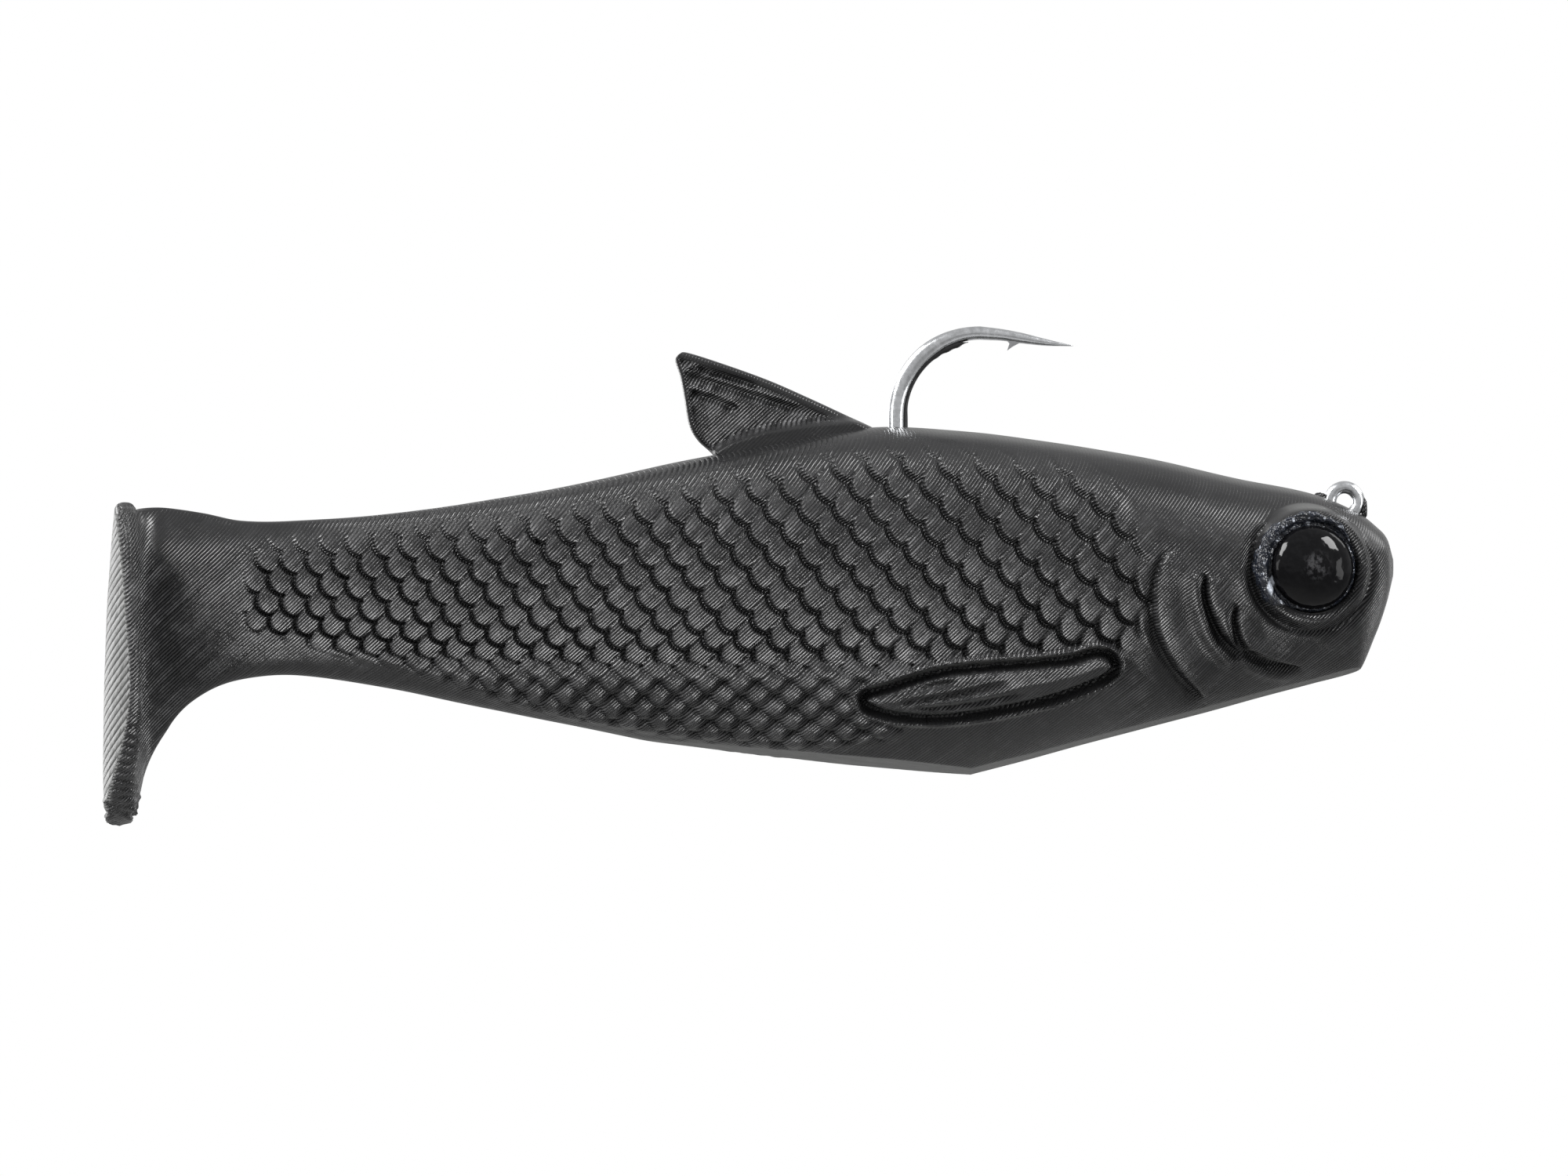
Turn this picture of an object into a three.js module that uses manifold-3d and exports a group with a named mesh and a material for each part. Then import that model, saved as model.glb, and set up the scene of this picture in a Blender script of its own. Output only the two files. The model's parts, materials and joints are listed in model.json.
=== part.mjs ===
// A soft-bodied paddle-tail swimbait with a moulded-in hook, in millimetres.
//
// Frame: the origin is the centre of the hook's eye, where the line is tied. +X points to the
// head, +Z to the back, and the fish is the same on both sides of the XZ plane. Its right side
// is at -Y.

import * as THREE from 'three';
import { mergeVertices } from 'three/addons/utils/BufferGeometryUtils.js';
import Module from 'manifold-3d';

const wasm = await Module();
wasm.setup();

// ---- driving dimensions -------------------------------------------------------------------

const GAP = 0.3; // between pieces that touch in the real lure

// Stations along the fish: x, back line, keel line, greatest half width. The keel line is the
// rounded underside before the flat belly is cut away.
const STATIONS = [
  [6.0, -7.2, -9.4, 2.0],
  [5.3, -4.8, -12.4, 5.0],
  [4.0, -3.3, -16.2, 7.0],
  [1.5, -1.4, -22.5, 8.7],
  [-4.0, 0.9, -25.3, 10.2],
  [-13.0, 2.7, -28.6, 11.9],
  [-25.0, 5.4, -31.8, 13.0],
  [-36.5, 7.3, -34.6, 13.7],
  [-46.4, 8.6, -36.6, 14.0],
  [-58.0, 9.2, -36.2, 13.5],
  [-70.0, 7.3, -33.6, 12.2],
  [-83.0, 4.8, -30.6, 10.2],
  [-95.0, 2.2, -28.1, 8.0],
  [-106.5, 0.1, -25.8, 6.1],
  [-118.0, -1.5, -23.4, 4.4],
  [-130.0, -2.4, -21.7, 3.1],
  [-137.0, -2.4, -22.2, 2.6],
  [-141.6, -1.5, -24.0, 2.2],
  [-145.4, -0.9, -27.4, 2.1],
  [-148.5, -0.6, -33.7, 2.0],
  [-150.8, -0.6, -38.4, 1.9],
];
const WIDEST_AT = 0.46; // depth of the widest point, as a part of the fish's height
const SECTION_POWER = 2.15; // 2 is an ellipse, more is fuller
const SECTION_SIDES = 28;
const STEPS_BETWEEN_STATIONS = 2;

// The flat belly: one plane from the chin down to the deepest point, one from there rearwards.
const CHIN = [2.2, -20.8];
const DEEPEST = [-46.4, -33.7];
const BELLY_REAR_SLOPE = 0.097;
const BELLY_REAR_END = -92;

// The living hinges, where the soft body bends sideways: x and greatest bend in degrees.
const REAR_BEND = { x: -88.1, degrees: 20 };
const STALK_BEND = { x: -112.4, degrees: 25 };
const TAIL_KICK = { x: -136.7, degrees: 40 };
const BEND_CLEARANCE_DEGREES = 1;

// The paddle: height z, half width, thickness. Its rear face bulges to the rear.
const PADDLE = [
  [-0.5, 2.0, 1.6],
  [-2.2, 4.8, 2.4],
  [-8.0, 8.0, 2.2],
  [-16.5, 10.7, 1.8],
  [-24.5, 12.0, 1.5],
  [-30.0, 10.6, 2.2],
  [-35.0, 7.2, 2.8],
  [-38.4, 3.4, 3.2],
  [-39.4, 1.4, 2.4],
];
const PADDLE_REARMOST = { x: -154.0, z: -30.0 };
const PADDLE_LEAN = 1.3; // how far the top of the rear face stands forward of its rearmost point
const PADDLE_BULGE = 0.025; // forward set of the rim, per square millimetre of half width
const PADDLE_COLUMNS = 9;

// The hook: a straight shank in the body, a bend that leaves through the back, and a point.
const WIRE_RADIUS = 1.05;
const RING_RADIUS = 1.75;
const RING_WIRE_RADIUS = 0.78;
const SHANK_Z = -3.4;
const BEND_RADIUS = 10.4;
const BEND_X = -45.2;
const BEND_TOP_Z = 21.0;
const POINT = [-33.6, 19.4];
const TAPER_LENGTH = 9.5;
const WIRE_STEPS = 60;
const WIRE_SIDES = 12;

// The lead ballast, cast on the shank and hanging below it.
const BALLAST = { x: -21, z: -15, length: 28, width: 11, height: 15 };
const BALLAST_SLEEVE = { radius: 2.7, length: 15 };
const BALLAST_WEB_WIDTH = 3.2;

// The eyes: black domes on a backing disc, each in a raised orbit.
const EYE = { x: -3.9, y: 9.7, z: -8.8, radius: 5.0, height: 3.2, toeDegrees: 12 };
const BACKING_THICKNESS = 0.5;
const ORBIT = { radius: 7.7, proud: 0.7, seatRadius: 5.35, seatDepth: 1.4 };
const GLUE = { inner: 5.4, outer: 7.1, thickness: 0.5, fromDegrees: 0, toDegrees: 215 };

// The dorsal fin: its root line on the back, and its outline above it.
const FIN_ROOT_REAR = [-80.2, 6.9];
const FIN_ROOT_FRONT = [-60.3, 10.15];
const FIN_THICKNESS = 2.2;

const MATERIALS = {
  plastisol: { color: 0x17171a, roughness: 0.5, metalness: 0.0 },
  nickel: { color: 0xb9bcc0, roughness: 0.2, metalness: 1.0 },
  lead: { color: 0x63656a, roughness: 0.6, metalness: 0.8 },
  eye: { color: 0x060606, roughness: 0.06, metalness: 0.0 },
  backing: { color: 0x111111, roughness: 0.7, metalness: 0.0 },
  glue: { color: 0x3c4048, roughness: 0.08, metalness: 0.0 },
};

// ---- small geometry tools -----------------------------------------------------------------

const radians = THREE.MathUtils.degToRad;

// Smooth value of one column of a table whose first column is the abscissa, in falling order.
function valueAt(table, column, at) {
  const last = table.length - 1;
  let i = 0;
  while (i < last - 1 && at < table[i + 1][0]) i += 1;
  const slope = (k) => {
    const a = table[Math.max(k - 1, 0)];
    const b = table[Math.min(k + 1, last)];
    return (b[column] - a[column]) / (b[0] - a[0]);
  };
  const [p, q] = [table[i], table[i + 1]];
  const span = q[0] - p[0];
  const t = THREE.MathUtils.clamp((at - p[0]) / span, 0, 1);
  const h1 = t * t * (3 - 2 * t);
  const bulge = t * (1 - t);
  return (
    p[column] * (1 - h1) + q[column] * h1 + span * bulge * ((1 - t) * slope(i) - t * slope(i + 1))
  );
}

// A closed body through rings of points that all have the same count.
function loft(rings) {
  const count = rings[0].length;
  const positions = rings.flat().flatMap((p) => [p.x, p.y, p.z]);
  const index = [];
  for (let r = 0; r < rings.length - 1; r += 1) {
    for (let i = 0; i < count; i += 1) {
      const j = (i + 1) % count;
      const [a, b] = [r * count + i, r * count + j];
      index.push(a, b, b + count, a, b + count, a + count);
    }
  }
  const closeEnd = (ring, flip) => {
    const middle = positions.length / 3;
    const centre = rings[ring].reduce((sum, p) => sum.add(p), new THREE.Vector3());
    centre.divideScalar(count);
    positions.push(centre.x, centre.y, centre.z);
    for (let i = 0; i < count; i += 1) {
      const [a, b] = [ring * count + i, ring * count + ((i + 1) % count)];
      index.push(...(flip ? [middle, b, a] : [middle, a, b]));
    }
  };
  closeEnd(0, true);
  closeEnd(rings.length - 1, false);
  const geometry = new THREE.BufferGeometry();
  geometry.setAttribute('position', new THREE.Float32BufferAttribute(positions, 3));
  geometry.setIndex(volumeInside(positions, index) < 0 ? index.reverse() : index);
  return geometry;
}

// Six times the volume of a closed body, negative where its faces point inwards.
function volumeInside(positions, index) {
  const corner = (i) => new THREE.Vector3().fromArray(positions, 3 * i);
  let sum = 0;
  for (let i = 0; i < index.length; i += 3) {
    sum += corner(index[i]).dot(corner(index[i + 1]).cross(corner(index[i + 2])));
  }
  return sum;
}

// A geometry as a solid that can be joined and cut.
function solid(geometry) {
  const bare = geometry.clone();
  bare.deleteAttribute('normal');
  bare.deleteAttribute('uv');
  const merged = mergeVertices(bare, 1e-4);
  const mesh = new wasm.Mesh({
    numProp: 3,
    vertProperties: new Float32Array(merged.attributes.position.array),
    triVerts: new Uint32Array(merged.index.array),
  });
  return new wasm.Manifold(mesh);
}

function geometryOf(body) {
  const mesh = body.getMesh();
  const geometry = new THREE.BufferGeometry();
  geometry.setAttribute('position', new THREE.Float32BufferAttribute(mesh.vertProperties, 3));
  geometry.setIndex(new THREE.Uint32BufferAttribute(mesh.triVerts, 1));
  return geometry;
}

function named(name, geometry, material) {
  const mesh = new THREE.Mesh(geometry, new THREE.MeshStandardMaterial(MATERIALS[material]));
  mesh.name = name;
  return mesh;
}

// A shape drawn in x and z, given a thickness across the fish.
function slab(shape, thickness, curveSegments = 8) {
  const geometry = new THREE.ExtrudeGeometry(shape, {
    depth: thickness,
    bevelEnabled: false,
    curveSegments,
  });
  geometry.rotateX(Math.PI / 2);
  geometry.translate(0, thickness / 2, 0);
  return geometry;
}

function polygon(points) {
  return new THREE.Shape(points.map(([x, y]) => new THREE.Vector2(x, y)));
}

// ---- the moulded body ---------------------------------------------------------------------

function fishRing(x) {
  const back = valueAt(STATIONS, 1, x);
  const keel = valueAt(STATIONS, 2, x);
  const halfWidth = valueAt(STATIONS, 3, x);
  const widest = back - WIDEST_AT * (back - keel);
  const full = (value) => Math.sign(value) * Math.abs(value) ** (2 / SECTION_POWER);
  const ring = [];
  for (let i = 0; i < SECTION_SIDES; i += 1) {
    const angle = (i / SECTION_SIDES) * 2 * Math.PI;
    const up = full(Math.cos(angle));
    const height = up > 0 ? back - widest : widest - keel;
    ring.push(new THREE.Vector3(x, halfWidth * full(Math.sin(angle)), widest + height * up));
  }
  return ring;
}

function wholeFish() {
  const rings = [];
  for (let i = 0; i < STATIONS.length - 1; i += 1) {
    for (let k = 0; k < STEPS_BETWEEN_STATIONS; k += 1) {
      const part = k / STEPS_BETWEEN_STATIONS;
      rings.push(fishRing(THREE.MathUtils.lerp(STATIONS[i][0], STATIONS[i + 1][0], part)));
    }
  }
  rings.push(fishRing(STATIONS.at(-1)[0]));
  return solid(loft(rings));
}

// What lies under the two belly planes.
function underBelly() {
  const slope = (CHIN[1] - DEEPEST[1]) / (CHIN[0] - DEEPEST[0]);
  const front = CHIN[0] + 10;
  const outline = polygon([
    [front, CHIN[1] + slope * 10],
    DEEPEST,
    [BELLY_REAR_END, DEEPEST[1] + BELLY_REAR_SLOPE * (DEEPEST[0] - BELLY_REAR_END)],
    [BELLY_REAR_END, -60],
    [front, -60],
  ]);
  return solid(slab(outline, 60));
}

// The part of space between two bends: a wedge in front, so that it can swing about the first
// hinge, and a flat face at the second.
function betweenBends(front, rearX) {
  const reach = 30;
  const slope = Math.tan(radians(front.degrees + BEND_CLEARANCE_DEGREES));
  const outline = polygon([
    [front.x - GAP, 0],
    [front.x - GAP - reach * slope, reach],
    [rearX, reach],
    [rearX, -reach],
    [front.x - GAP - reach * slope, -reach],
  ]);
  const geometry = new THREE.ExtrudeGeometry(outline, { depth: 120, bevelEnabled: false });
  geometry.translate(0, 0, -70);
  return solid(geometry);
}

function paddlePlate() {
  const rings = PADDLE.map(([z, halfWidth, thickness]) => {
    const lean = (z - PADDLE_REARMOST.z) / (PADDLE[0][0] - PADDLE_REARMOST.z);
    const rearX = PADDLE_REARMOST.x + PADDLE_LEAN * lean * lean;
    const across = (i) => halfWidth * (1 - (2 * i) / (PADDLE_COLUMNS - 1));
    const columns = Array.from({ length: PADDLE_COLUMNS }, (_, i) => across(i));
    const face = (y, ahead) => new THREE.Vector3(rearX + PADDLE_BULGE * y * y + ahead, y, z);
    return [
      ...columns.map((y) => face(y, thickness)),
      ...columns.reverse().map((y) => face(y, 0)),
    ];
  });
  return solid(loft(rings));
}

// ---- the hook -----------------------------------------------------------------------------

function hookCentreline() {
  const vertical = BEND_X - BEND_RADIUS;
  const neck = RING_RADIUS * Math.SQRT1_2;
  const fillet = 1.24;
  const path = new THREE.Path();
  path.moveTo(-neck, -neck);
  path.lineTo(SHANK_Z + fillet * Math.SQRT1_2, SHANK_Z + fillet * Math.SQRT1_2);
  path.quadraticCurveTo(SHANK_Z, SHANK_Z, SHANK_Z - fillet, SHANK_Z);
  path.lineTo(BEND_X, SHANK_Z);
  path.absarc(BEND_X, SHANK_Z + BEND_RADIUS, BEND_RADIUS, -Math.PI / 2, Math.PI, true);
  path.lineTo(vertical, BEND_TOP_Z - BEND_RADIUS);
  path.absarc(BEND_X, BEND_TOP_Z - BEND_RADIUS, BEND_RADIUS, Math.PI, Math.PI / 2, true);
  path.quadraticCurveTo(BEND_X + 3.5, BEND_TOP_Z, BEND_X + 7, BEND_TOP_Z - 1.1);
  path.lineTo(...POINT);
  return path;
}

// A round wire along the centreline; its radius shrinks to the point over the taper.
function hookWire(grow) {
  const path = hookCentreline();
  const length = path.getLength();
  const rings = [];
  for (let i = 0; i <= WIRE_STEPS; i += 1) {
    const u = i / WIRE_STEPS;
    const at = path.getPointAt(u);
    const along = path.getTangentAt(u);
    const left = length * (1 - u);
    const radius = WIRE_RADIUS * Math.min(1, 0.08 + (0.92 * left) / TAPER_LENGTH) + grow;
    const ring = [];
    for (let k = 0; k < WIRE_SIDES; k += 1) {
      const angle = (k / WIRE_SIDES) * 2 * Math.PI;
      const inPlane = radius * Math.cos(angle);
      const y = radius * Math.sin(angle);
      ring.push(new THREE.Vector3(at.x - along.y * inPlane, y, at.y + along.x * inPlane));
    }
    rings.push(ring);
  }
  return solid(loft(rings));
}

function hookBarb() {
  const barb = polygon([
    [POINT[0] - 6.0, POINT[1] + 0.2],
    [POINT[0] - 8.4, POINT[1] - 1.1],
    [POINT[0] - 8.2, POINT[1] + 0.2],
  ]);
  return solid(slab(barb, 0.7));
}

function hook() {
  const ring = new THREE.TorusGeometry(RING_RADIUS, RING_WIRE_RADIUS, 10, 28);
  ring.rotateX(Math.PI / 2);
  return hookWire(0).add(solid(ring)).add(hookBarb());
}

// ---- the ballast --------------------------------------------------------------------------

function ballastSolid(grow) {
  const { x, z, length, width, height } = BALLAST;
  const bulb = new THREE.SphereGeometry(1, 20, 12);
  bulb.rotateZ(Math.PI / 2);
  bulb.scale(length / 2 + grow, width / 2 + grow, height / 2 + grow);
  bulb.translate(x, 0, z);
  const sleeveRadius = BALLAST_SLEEVE.radius + grow;
  const sleeveLength = BALLAST_SLEEVE.length + 2 * grow;
  const sleeve = new THREE.CylinderGeometry(sleeveRadius, sleeveRadius, sleeveLength, 16);
  sleeve.rotateZ(Math.PI / 2);
  sleeve.translate(x, 0, SHANK_Z);
  const webHeight = SHANK_Z - z;
  const web = new THREE.BoxGeometry(sleeveLength, BALLAST_WEB_WIDTH + 2 * grow, webHeight);
  web.translate(x, 0, z + webHeight / 2);
  return solid(bulb).add(solid(sleeve)).add(solid(web));
}

// ---- the eyes -----------------------------------------------------------------------------

// A solid of revolution about +Z, from [radius, height] points that start and end on the axis.
function turned(points, segments = 28) {
  const geometry = new THREE.LatheGeometry(
    points.map(([r, z]) => new THREE.Vector2(r, z)),
    segments,
  );
  geometry.rotateX(Math.PI / 2);
  return geometry;
}

// Places something made about +Z, looking out of the head, on one side: -1 right, +1 left.
function onHead(side) {
  const turn = new THREE.Matrix4().makeRotationX((-side * Math.PI) / 2);
  const toe = new THREE.Matrix4().makeRotationZ(-side * radians(EYE.toeDegrees));
  const place = new THREE.Matrix4().makeTranslation(EYE.x, side * EYE.y, EYE.z);
  return place.multiply(toe).multiply(turn);
}

function orbitRim() {
  const { radius, proud } = ORBIT;
  return turned([
    [0, -4],
    [radius - 1.2, -4],
    [radius, -1.2],
    [radius - 0.25, proud - 0.35],
    [radius - 0.9, proud],
    [0, proud],
  ]);
}

function orbitSeat() {
  const floor = -ORBIT.seatDepth;
  const lip = 5;
  return turned([
    [0, floor],
    [ORBIT.seatRadius, floor],
    [ORBIT.seatRadius, lip],
    [0, lip],
  ]);
}

function eyeDome() {
  const base = GAP + BACKING_THICKNESS + GAP - ORBIT.seatDepth;
  const side = 0.9;
  const profile = [
    [0, base],
    [EYE.radius, base],
  ];
  const steps = 8;
  for (let i = 0; i < steps; i += 1) {
    const angle = (i / steps) * (Math.PI / 2);
    const rise = (EYE.height - side) * Math.sin(angle);
    profile.push([EYE.radius * Math.cos(angle), base + side + rise]);
  }
  profile.push([0, base + EYE.height]);
  return turned(profile);
}

function eyeBacking() {
  const floor = GAP - ORBIT.seatDepth;
  const radius = EYE.radius - 0.2;
  return turned([
    [0, floor],
    [radius, floor],
    [radius, floor + BACKING_THICKNESS],
    [0, floor + BACKING_THICKNESS],
  ]);
}

// The glue that squeezed out over the top of the orbit, as part of a ring.
function glueFilm(side) {
  const turn = -side;
  const from = turn * radians(GLUE.fromDegrees);
  const to = turn * radians(GLUE.toDegrees);
  const shape = new THREE.Shape();
  shape.absarc(0, 0, GLUE.outer, from, to, side > 0);
  shape.absarc(0, 0, GLUE.inner, to, from, side < 0);
  const geometry = new THREE.ExtrudeGeometry(shape, {
    depth: GLUE.thickness,
    bevelEnabled: false,
    curveSegments: 20,
  });
  geometry.translate(0, 0, ORBIT.proud + GAP);
  return geometry;
}

// ---- the dorsal fin -----------------------------------------------------------------------

function dorsalFin() {
  const shape = new THREE.Shape();
  shape.moveTo(...FIN_ROOT_REAR);
  shape.quadraticCurveTo(-81.9, 9.4, -82.1, 12.6);
  shape.quadraticCurveTo(-82.3, 15.0, -83.3, 17.4);
  shape.quadraticCurveTo(-83.3, 18.7, -82.0, 18.5);
  shape.quadraticCurveTo(-71.5, 15.6, FIN_ROOT_FRONT[0], FIN_ROOT_FRONT[1]);
  shape.closePath();
  return slab(shape, FIN_THICKNESS);
}

// ---- assembly -----------------------------------------------------------------------------

const group = new THREE.Group();

const fish = wholeFish().subtract(underBelly());

// The room that the hook, the line-tie ring and the ballast take up in the front body.
const ringSlot = new THREE.CylinderGeometry(2.85, 2.85, 2.2, 24);
let frontBody = fish.intersect(betweenBends({ x: 60, degrees: 0 }, REAR_BEND.x));
for (const side of [-1, 1]) {
  frontBody = frontBody.add(solid(orbitRim().applyMatrix4(onHead(side))));
}
for (const side of [-1, 1]) {
  frontBody = frontBody.subtract(solid(orbitSeat().applyMatrix4(onHead(side))));
}
frontBody = frontBody
  .subtract(hookWire(GAP))
  .subtract(solid(ringSlot))
  .subtract(ballastSolid(GAP));
group.add(named('body_front', geometryOf(frontBody), 'plastisol'));

const rearBody = fish.intersect(betweenBends(REAR_BEND, STALK_BEND.x));
group.add(named('body_rear', geometryOf(rearBody), 'plastisol'));

const stalk = fish.intersect(betweenBends(STALK_BEND, TAIL_KICK.x));
group.add(named('tail_stalk', geometryOf(stalk), 'plastisol'));

const paddle = fish.intersect(betweenBends(TAIL_KICK, -200)).add(paddlePlate());
group.add(named('tail_paddle', geometryOf(paddle), 'plastisol'));

group.add(named('dorsal_fin', dorsalFin(), 'plastisol'));
group.add(named('hook', geometryOf(hook()), 'nickel'));
const ballast = ballastSolid(0).subtract(hookWire(GAP));
group.add(named('ballast', geometryOf(ballast), 'lead'));

for (const [side, name] of [[-1, 'right'], [1, 'left']]) {
  const eye = new THREE.Group();
  eye.applyMatrix4(onHead(side));
  eye.add(named(`eye_${name}`, eyeDome(), 'eye'));
  eye.add(named(`eye_backing_${name}`, eyeBacking(), 'backing'));
  eye.add(named(`eye_glue_${name}`, glueFilm(side), 'glue'));
  group.add(eye);
}

export default group;
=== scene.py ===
"""A black soft-plastic swimbait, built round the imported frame.

Shapes are worked out in millimetres in the frame's own axes (+X head, +Z back, right side at
-Y, origin at the hook's eye) and turned to metres when a mesh is made.
"""

import json
import math

import bpy
import numpy as np
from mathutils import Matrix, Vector


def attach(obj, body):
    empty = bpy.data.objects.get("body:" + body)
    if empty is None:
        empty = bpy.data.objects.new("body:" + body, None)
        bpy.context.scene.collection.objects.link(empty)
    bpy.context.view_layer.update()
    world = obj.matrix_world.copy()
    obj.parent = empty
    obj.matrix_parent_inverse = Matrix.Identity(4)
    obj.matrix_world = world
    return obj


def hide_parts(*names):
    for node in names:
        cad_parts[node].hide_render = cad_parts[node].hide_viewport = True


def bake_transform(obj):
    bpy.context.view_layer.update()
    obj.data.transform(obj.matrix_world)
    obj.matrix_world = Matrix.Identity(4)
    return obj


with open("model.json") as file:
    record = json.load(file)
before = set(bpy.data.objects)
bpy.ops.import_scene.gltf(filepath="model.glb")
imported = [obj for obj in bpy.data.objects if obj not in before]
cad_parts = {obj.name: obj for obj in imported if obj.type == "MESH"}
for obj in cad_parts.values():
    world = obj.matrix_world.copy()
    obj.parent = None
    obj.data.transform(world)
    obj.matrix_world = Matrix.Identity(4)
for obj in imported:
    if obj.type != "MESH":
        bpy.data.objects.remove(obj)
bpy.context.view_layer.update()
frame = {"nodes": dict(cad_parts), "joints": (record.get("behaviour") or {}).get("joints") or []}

MM = 0.001

# ---- places taken from the frame ----


def joint_place(name):
    """Where a joint turns, in metres."""
    return next(j for j in frame["joints"] if j["name"] == name)["pos_m"]


def joint_x(name):
    """How far along the fish a joint turns, in mm."""
    return joint_place(name)[0] / MM


REAR_BEND_X = joint_x("rear_bend")
STALK_BEND_X = joint_x("stalk_bend")
TAIL_KICK_X = joint_x("tail_kick")

# ---- the moulded body's form: the CAD body's stations, with a narrower cut underside ----

# x, back line, keel line, greatest half width
STATIONS = np.array([
    [6.0, -7.2, -9.4, 2.0],
    [5.3, -4.8, -12.4, 5.0],
    [4.0, -3.3, -16.2, 7.0],
    [1.5, -1.4, -21.5, 8.7],
    [-4.0, 0.9, -23.1, 10.2],
    [-13.0, 2.7, -25.7, 11.9],
    [-25.0, 5.4, -28.8, 13.0],
    [-36.5, 7.3, -31.9, 13.7],
    [-46.4, 8.6, -34.9, 14.0],
    [-58.0, 9.2, -36.2, 13.5],
    [-70.0, 7.3, -33.6, 12.2],
    [-83.0, 4.8, -30.6, 10.2],
    [-95.0, 2.2, -28.1, 8.0],
    [-106.5, 0.1, -25.8, 6.1],
    [-118.0, -1.5, -23.4, 4.4],
    [-130.0, -2.4, -21.7, 3.1],
    [-137.0, -2.4, -22.2, 2.6],
    [-141.6, -1.5, -24.0, 2.2],
    [-145.4, -0.9, -27.4, 2.1],
    [-148.5, -0.6, -33.7, 2.0],
])
WIDEST_AT = 0.46
SECTION_POWER = 2.15
CHIN = (2.2, -20.8)
DEEPEST = (-46.4, -33.7)
BELLY_REAR_SLOPE = 0.097
BELLY_EDGE_SOFTNESS = 0.12
BELLY_ENDS = (-118, -132)  # the cut underside fades out between these

# z, half width and thickness of the paddle's plate
PADDLE = np.array([
    [-1.2, 1.6, 2.6],
    [-2.8, 4.6, 2.6],
    [-8.0, 8.0, 2.3],
    [-16.5, 10.7, 1.8],
    [-24.5, 12.0, 1.5],
    [-30.0, 10.6, 2.1],
    [-35.0, 7.2, 2.7],
    [-38.0, 3.4, 3.6],
    [-38.9, 1.2, 3.4],
])
PADDLE_REARMOST = (-154.0, -30.0)
PADDLE_LEAN = 1.3
PADDLE_BULGE = 0.025
WEB_LOOPS = 49
RIM_LOOPS = 13
FACE_LOOPS = 34
WEB_RUN = 5.6  # how far the web runs straight on before it flares
TIP_FLARE = 1.9  # the flare comes later near the paddle's bottom tip
RIM_ROUND = 0.7  # how far the rim's bead stands out, in half thicknesses

AROUND = 480  # points round each section
STEP = 0.22  # spacing of the sections along the fish
NOSE_X = 6.0
SNOUT = 4.0  # length over which the snout rounds off
WEB_END_X = -146.0  # where the tail's web begins to flare out into the paddle

# The layers of the printed master: the direction they are stacked in, and their thickness.
LAYER_NORMAL = np.array([-0.93, -0.566, 1.0])
LAYER_NORMAL /= np.linalg.norm(LAYER_NORMAL)
LAYER = 0.33
RIDGE_HEIGHT = 0.25
# On the paddle's rear face the layers come out as broader steps that slant across it.
REAR_STEPS = np.array([-0.93, 0.1, 1.0]) * 0.3


def smooth(table, column, at):
    """Smooth values of one column of a table against its first column, which falls."""
    xs = table[::-1, 0]
    ys = table[::-1, column]
    slopes = np.empty_like(ys)
    slopes[1:-1] = (ys[2:] - ys[:-2]) / (xs[2:] - xs[:-2])
    slopes[0] = (ys[1] - ys[0]) / (xs[1] - xs[0])
    slopes[-1] = (ys[-1] - ys[-2]) / (xs[-1] - xs[-2])
    i = np.clip(np.searchsorted(xs, at) - 1, 0, len(xs) - 2)
    span = xs[i + 1] - xs[i]
    t = np.clip((at - xs[i]) / span, 0, 1)
    rise = t * t * (3 - 2 * t)
    bulge = span * t * (1 - t)
    return ys[i] * (1 - rise) + ys[i + 1] * rise + bulge * ((1 - t) * slopes[i] - t * slopes[i + 1])


def step(low, high, value):
    """0 below low, 1 above high, smooth between. low may be the larger."""
    t = np.clip((value - low) / (high - low), 0, 1)
    return t * t * (3 - 2 * t)


def soft_max(a, b, width):
    """The larger of two values, rounded over where they cross."""
    gap = np.clip(0.5 + 0.5 * (a - b) / width, 0, 1)
    return b + (a - b) * gap + width * gap * (1 - gap)


def ripple(x, z, scale, seed=0.0):
    """Slow irregularity between -1 and 1, without randomness."""
    a = np.sin(x * scale + seed) * np.cos(z * scale * 1.31 + 2.1 * seed)
    b = np.sin((x + z) * scale * 1.73 + 1.7 + seed) * np.sin((x - 1.6 * z) * scale * 0.77 + seed)
    return 0.5 * (a + b)


def full_turn(count):
    """Angles spread evenly over a turn."""
    return np.linspace(0, 2 * math.pi, count, endpoint=False)


def even_loop(y, z):
    """Half a section, from the back to the keel, respaced evenly and mirrored into a loop."""
    run = np.concatenate([[0], np.cumsum(np.hypot(np.diff(y), np.diff(z)))])
    at = np.linspace(0, run[-1], AROUND // 2 + 1)
    y, z = np.interp(at, run, y), np.interp(at, run, z)
    return np.concatenate([y, -y[-2:0:-1]]), np.concatenate([z, z[-2:0:-1]])


def belly_floor(x):
    """Height of the flat-cut underside: one plane to the deepest point, one behind it."""
    slope = (CHIN[1] - DEEPEST[1]) / (CHIN[0] - DEEPEST[0])
    ahead = DEEPEST[1] + slope * (x - DEEPEST[0])
    behind = DEEPEST[1] + BELLY_REAR_SLOPE * (DEEPEST[0] - x)
    return np.maximum(ahead, behind) - 8 * step(*BELLY_ENDS, x)


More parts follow.
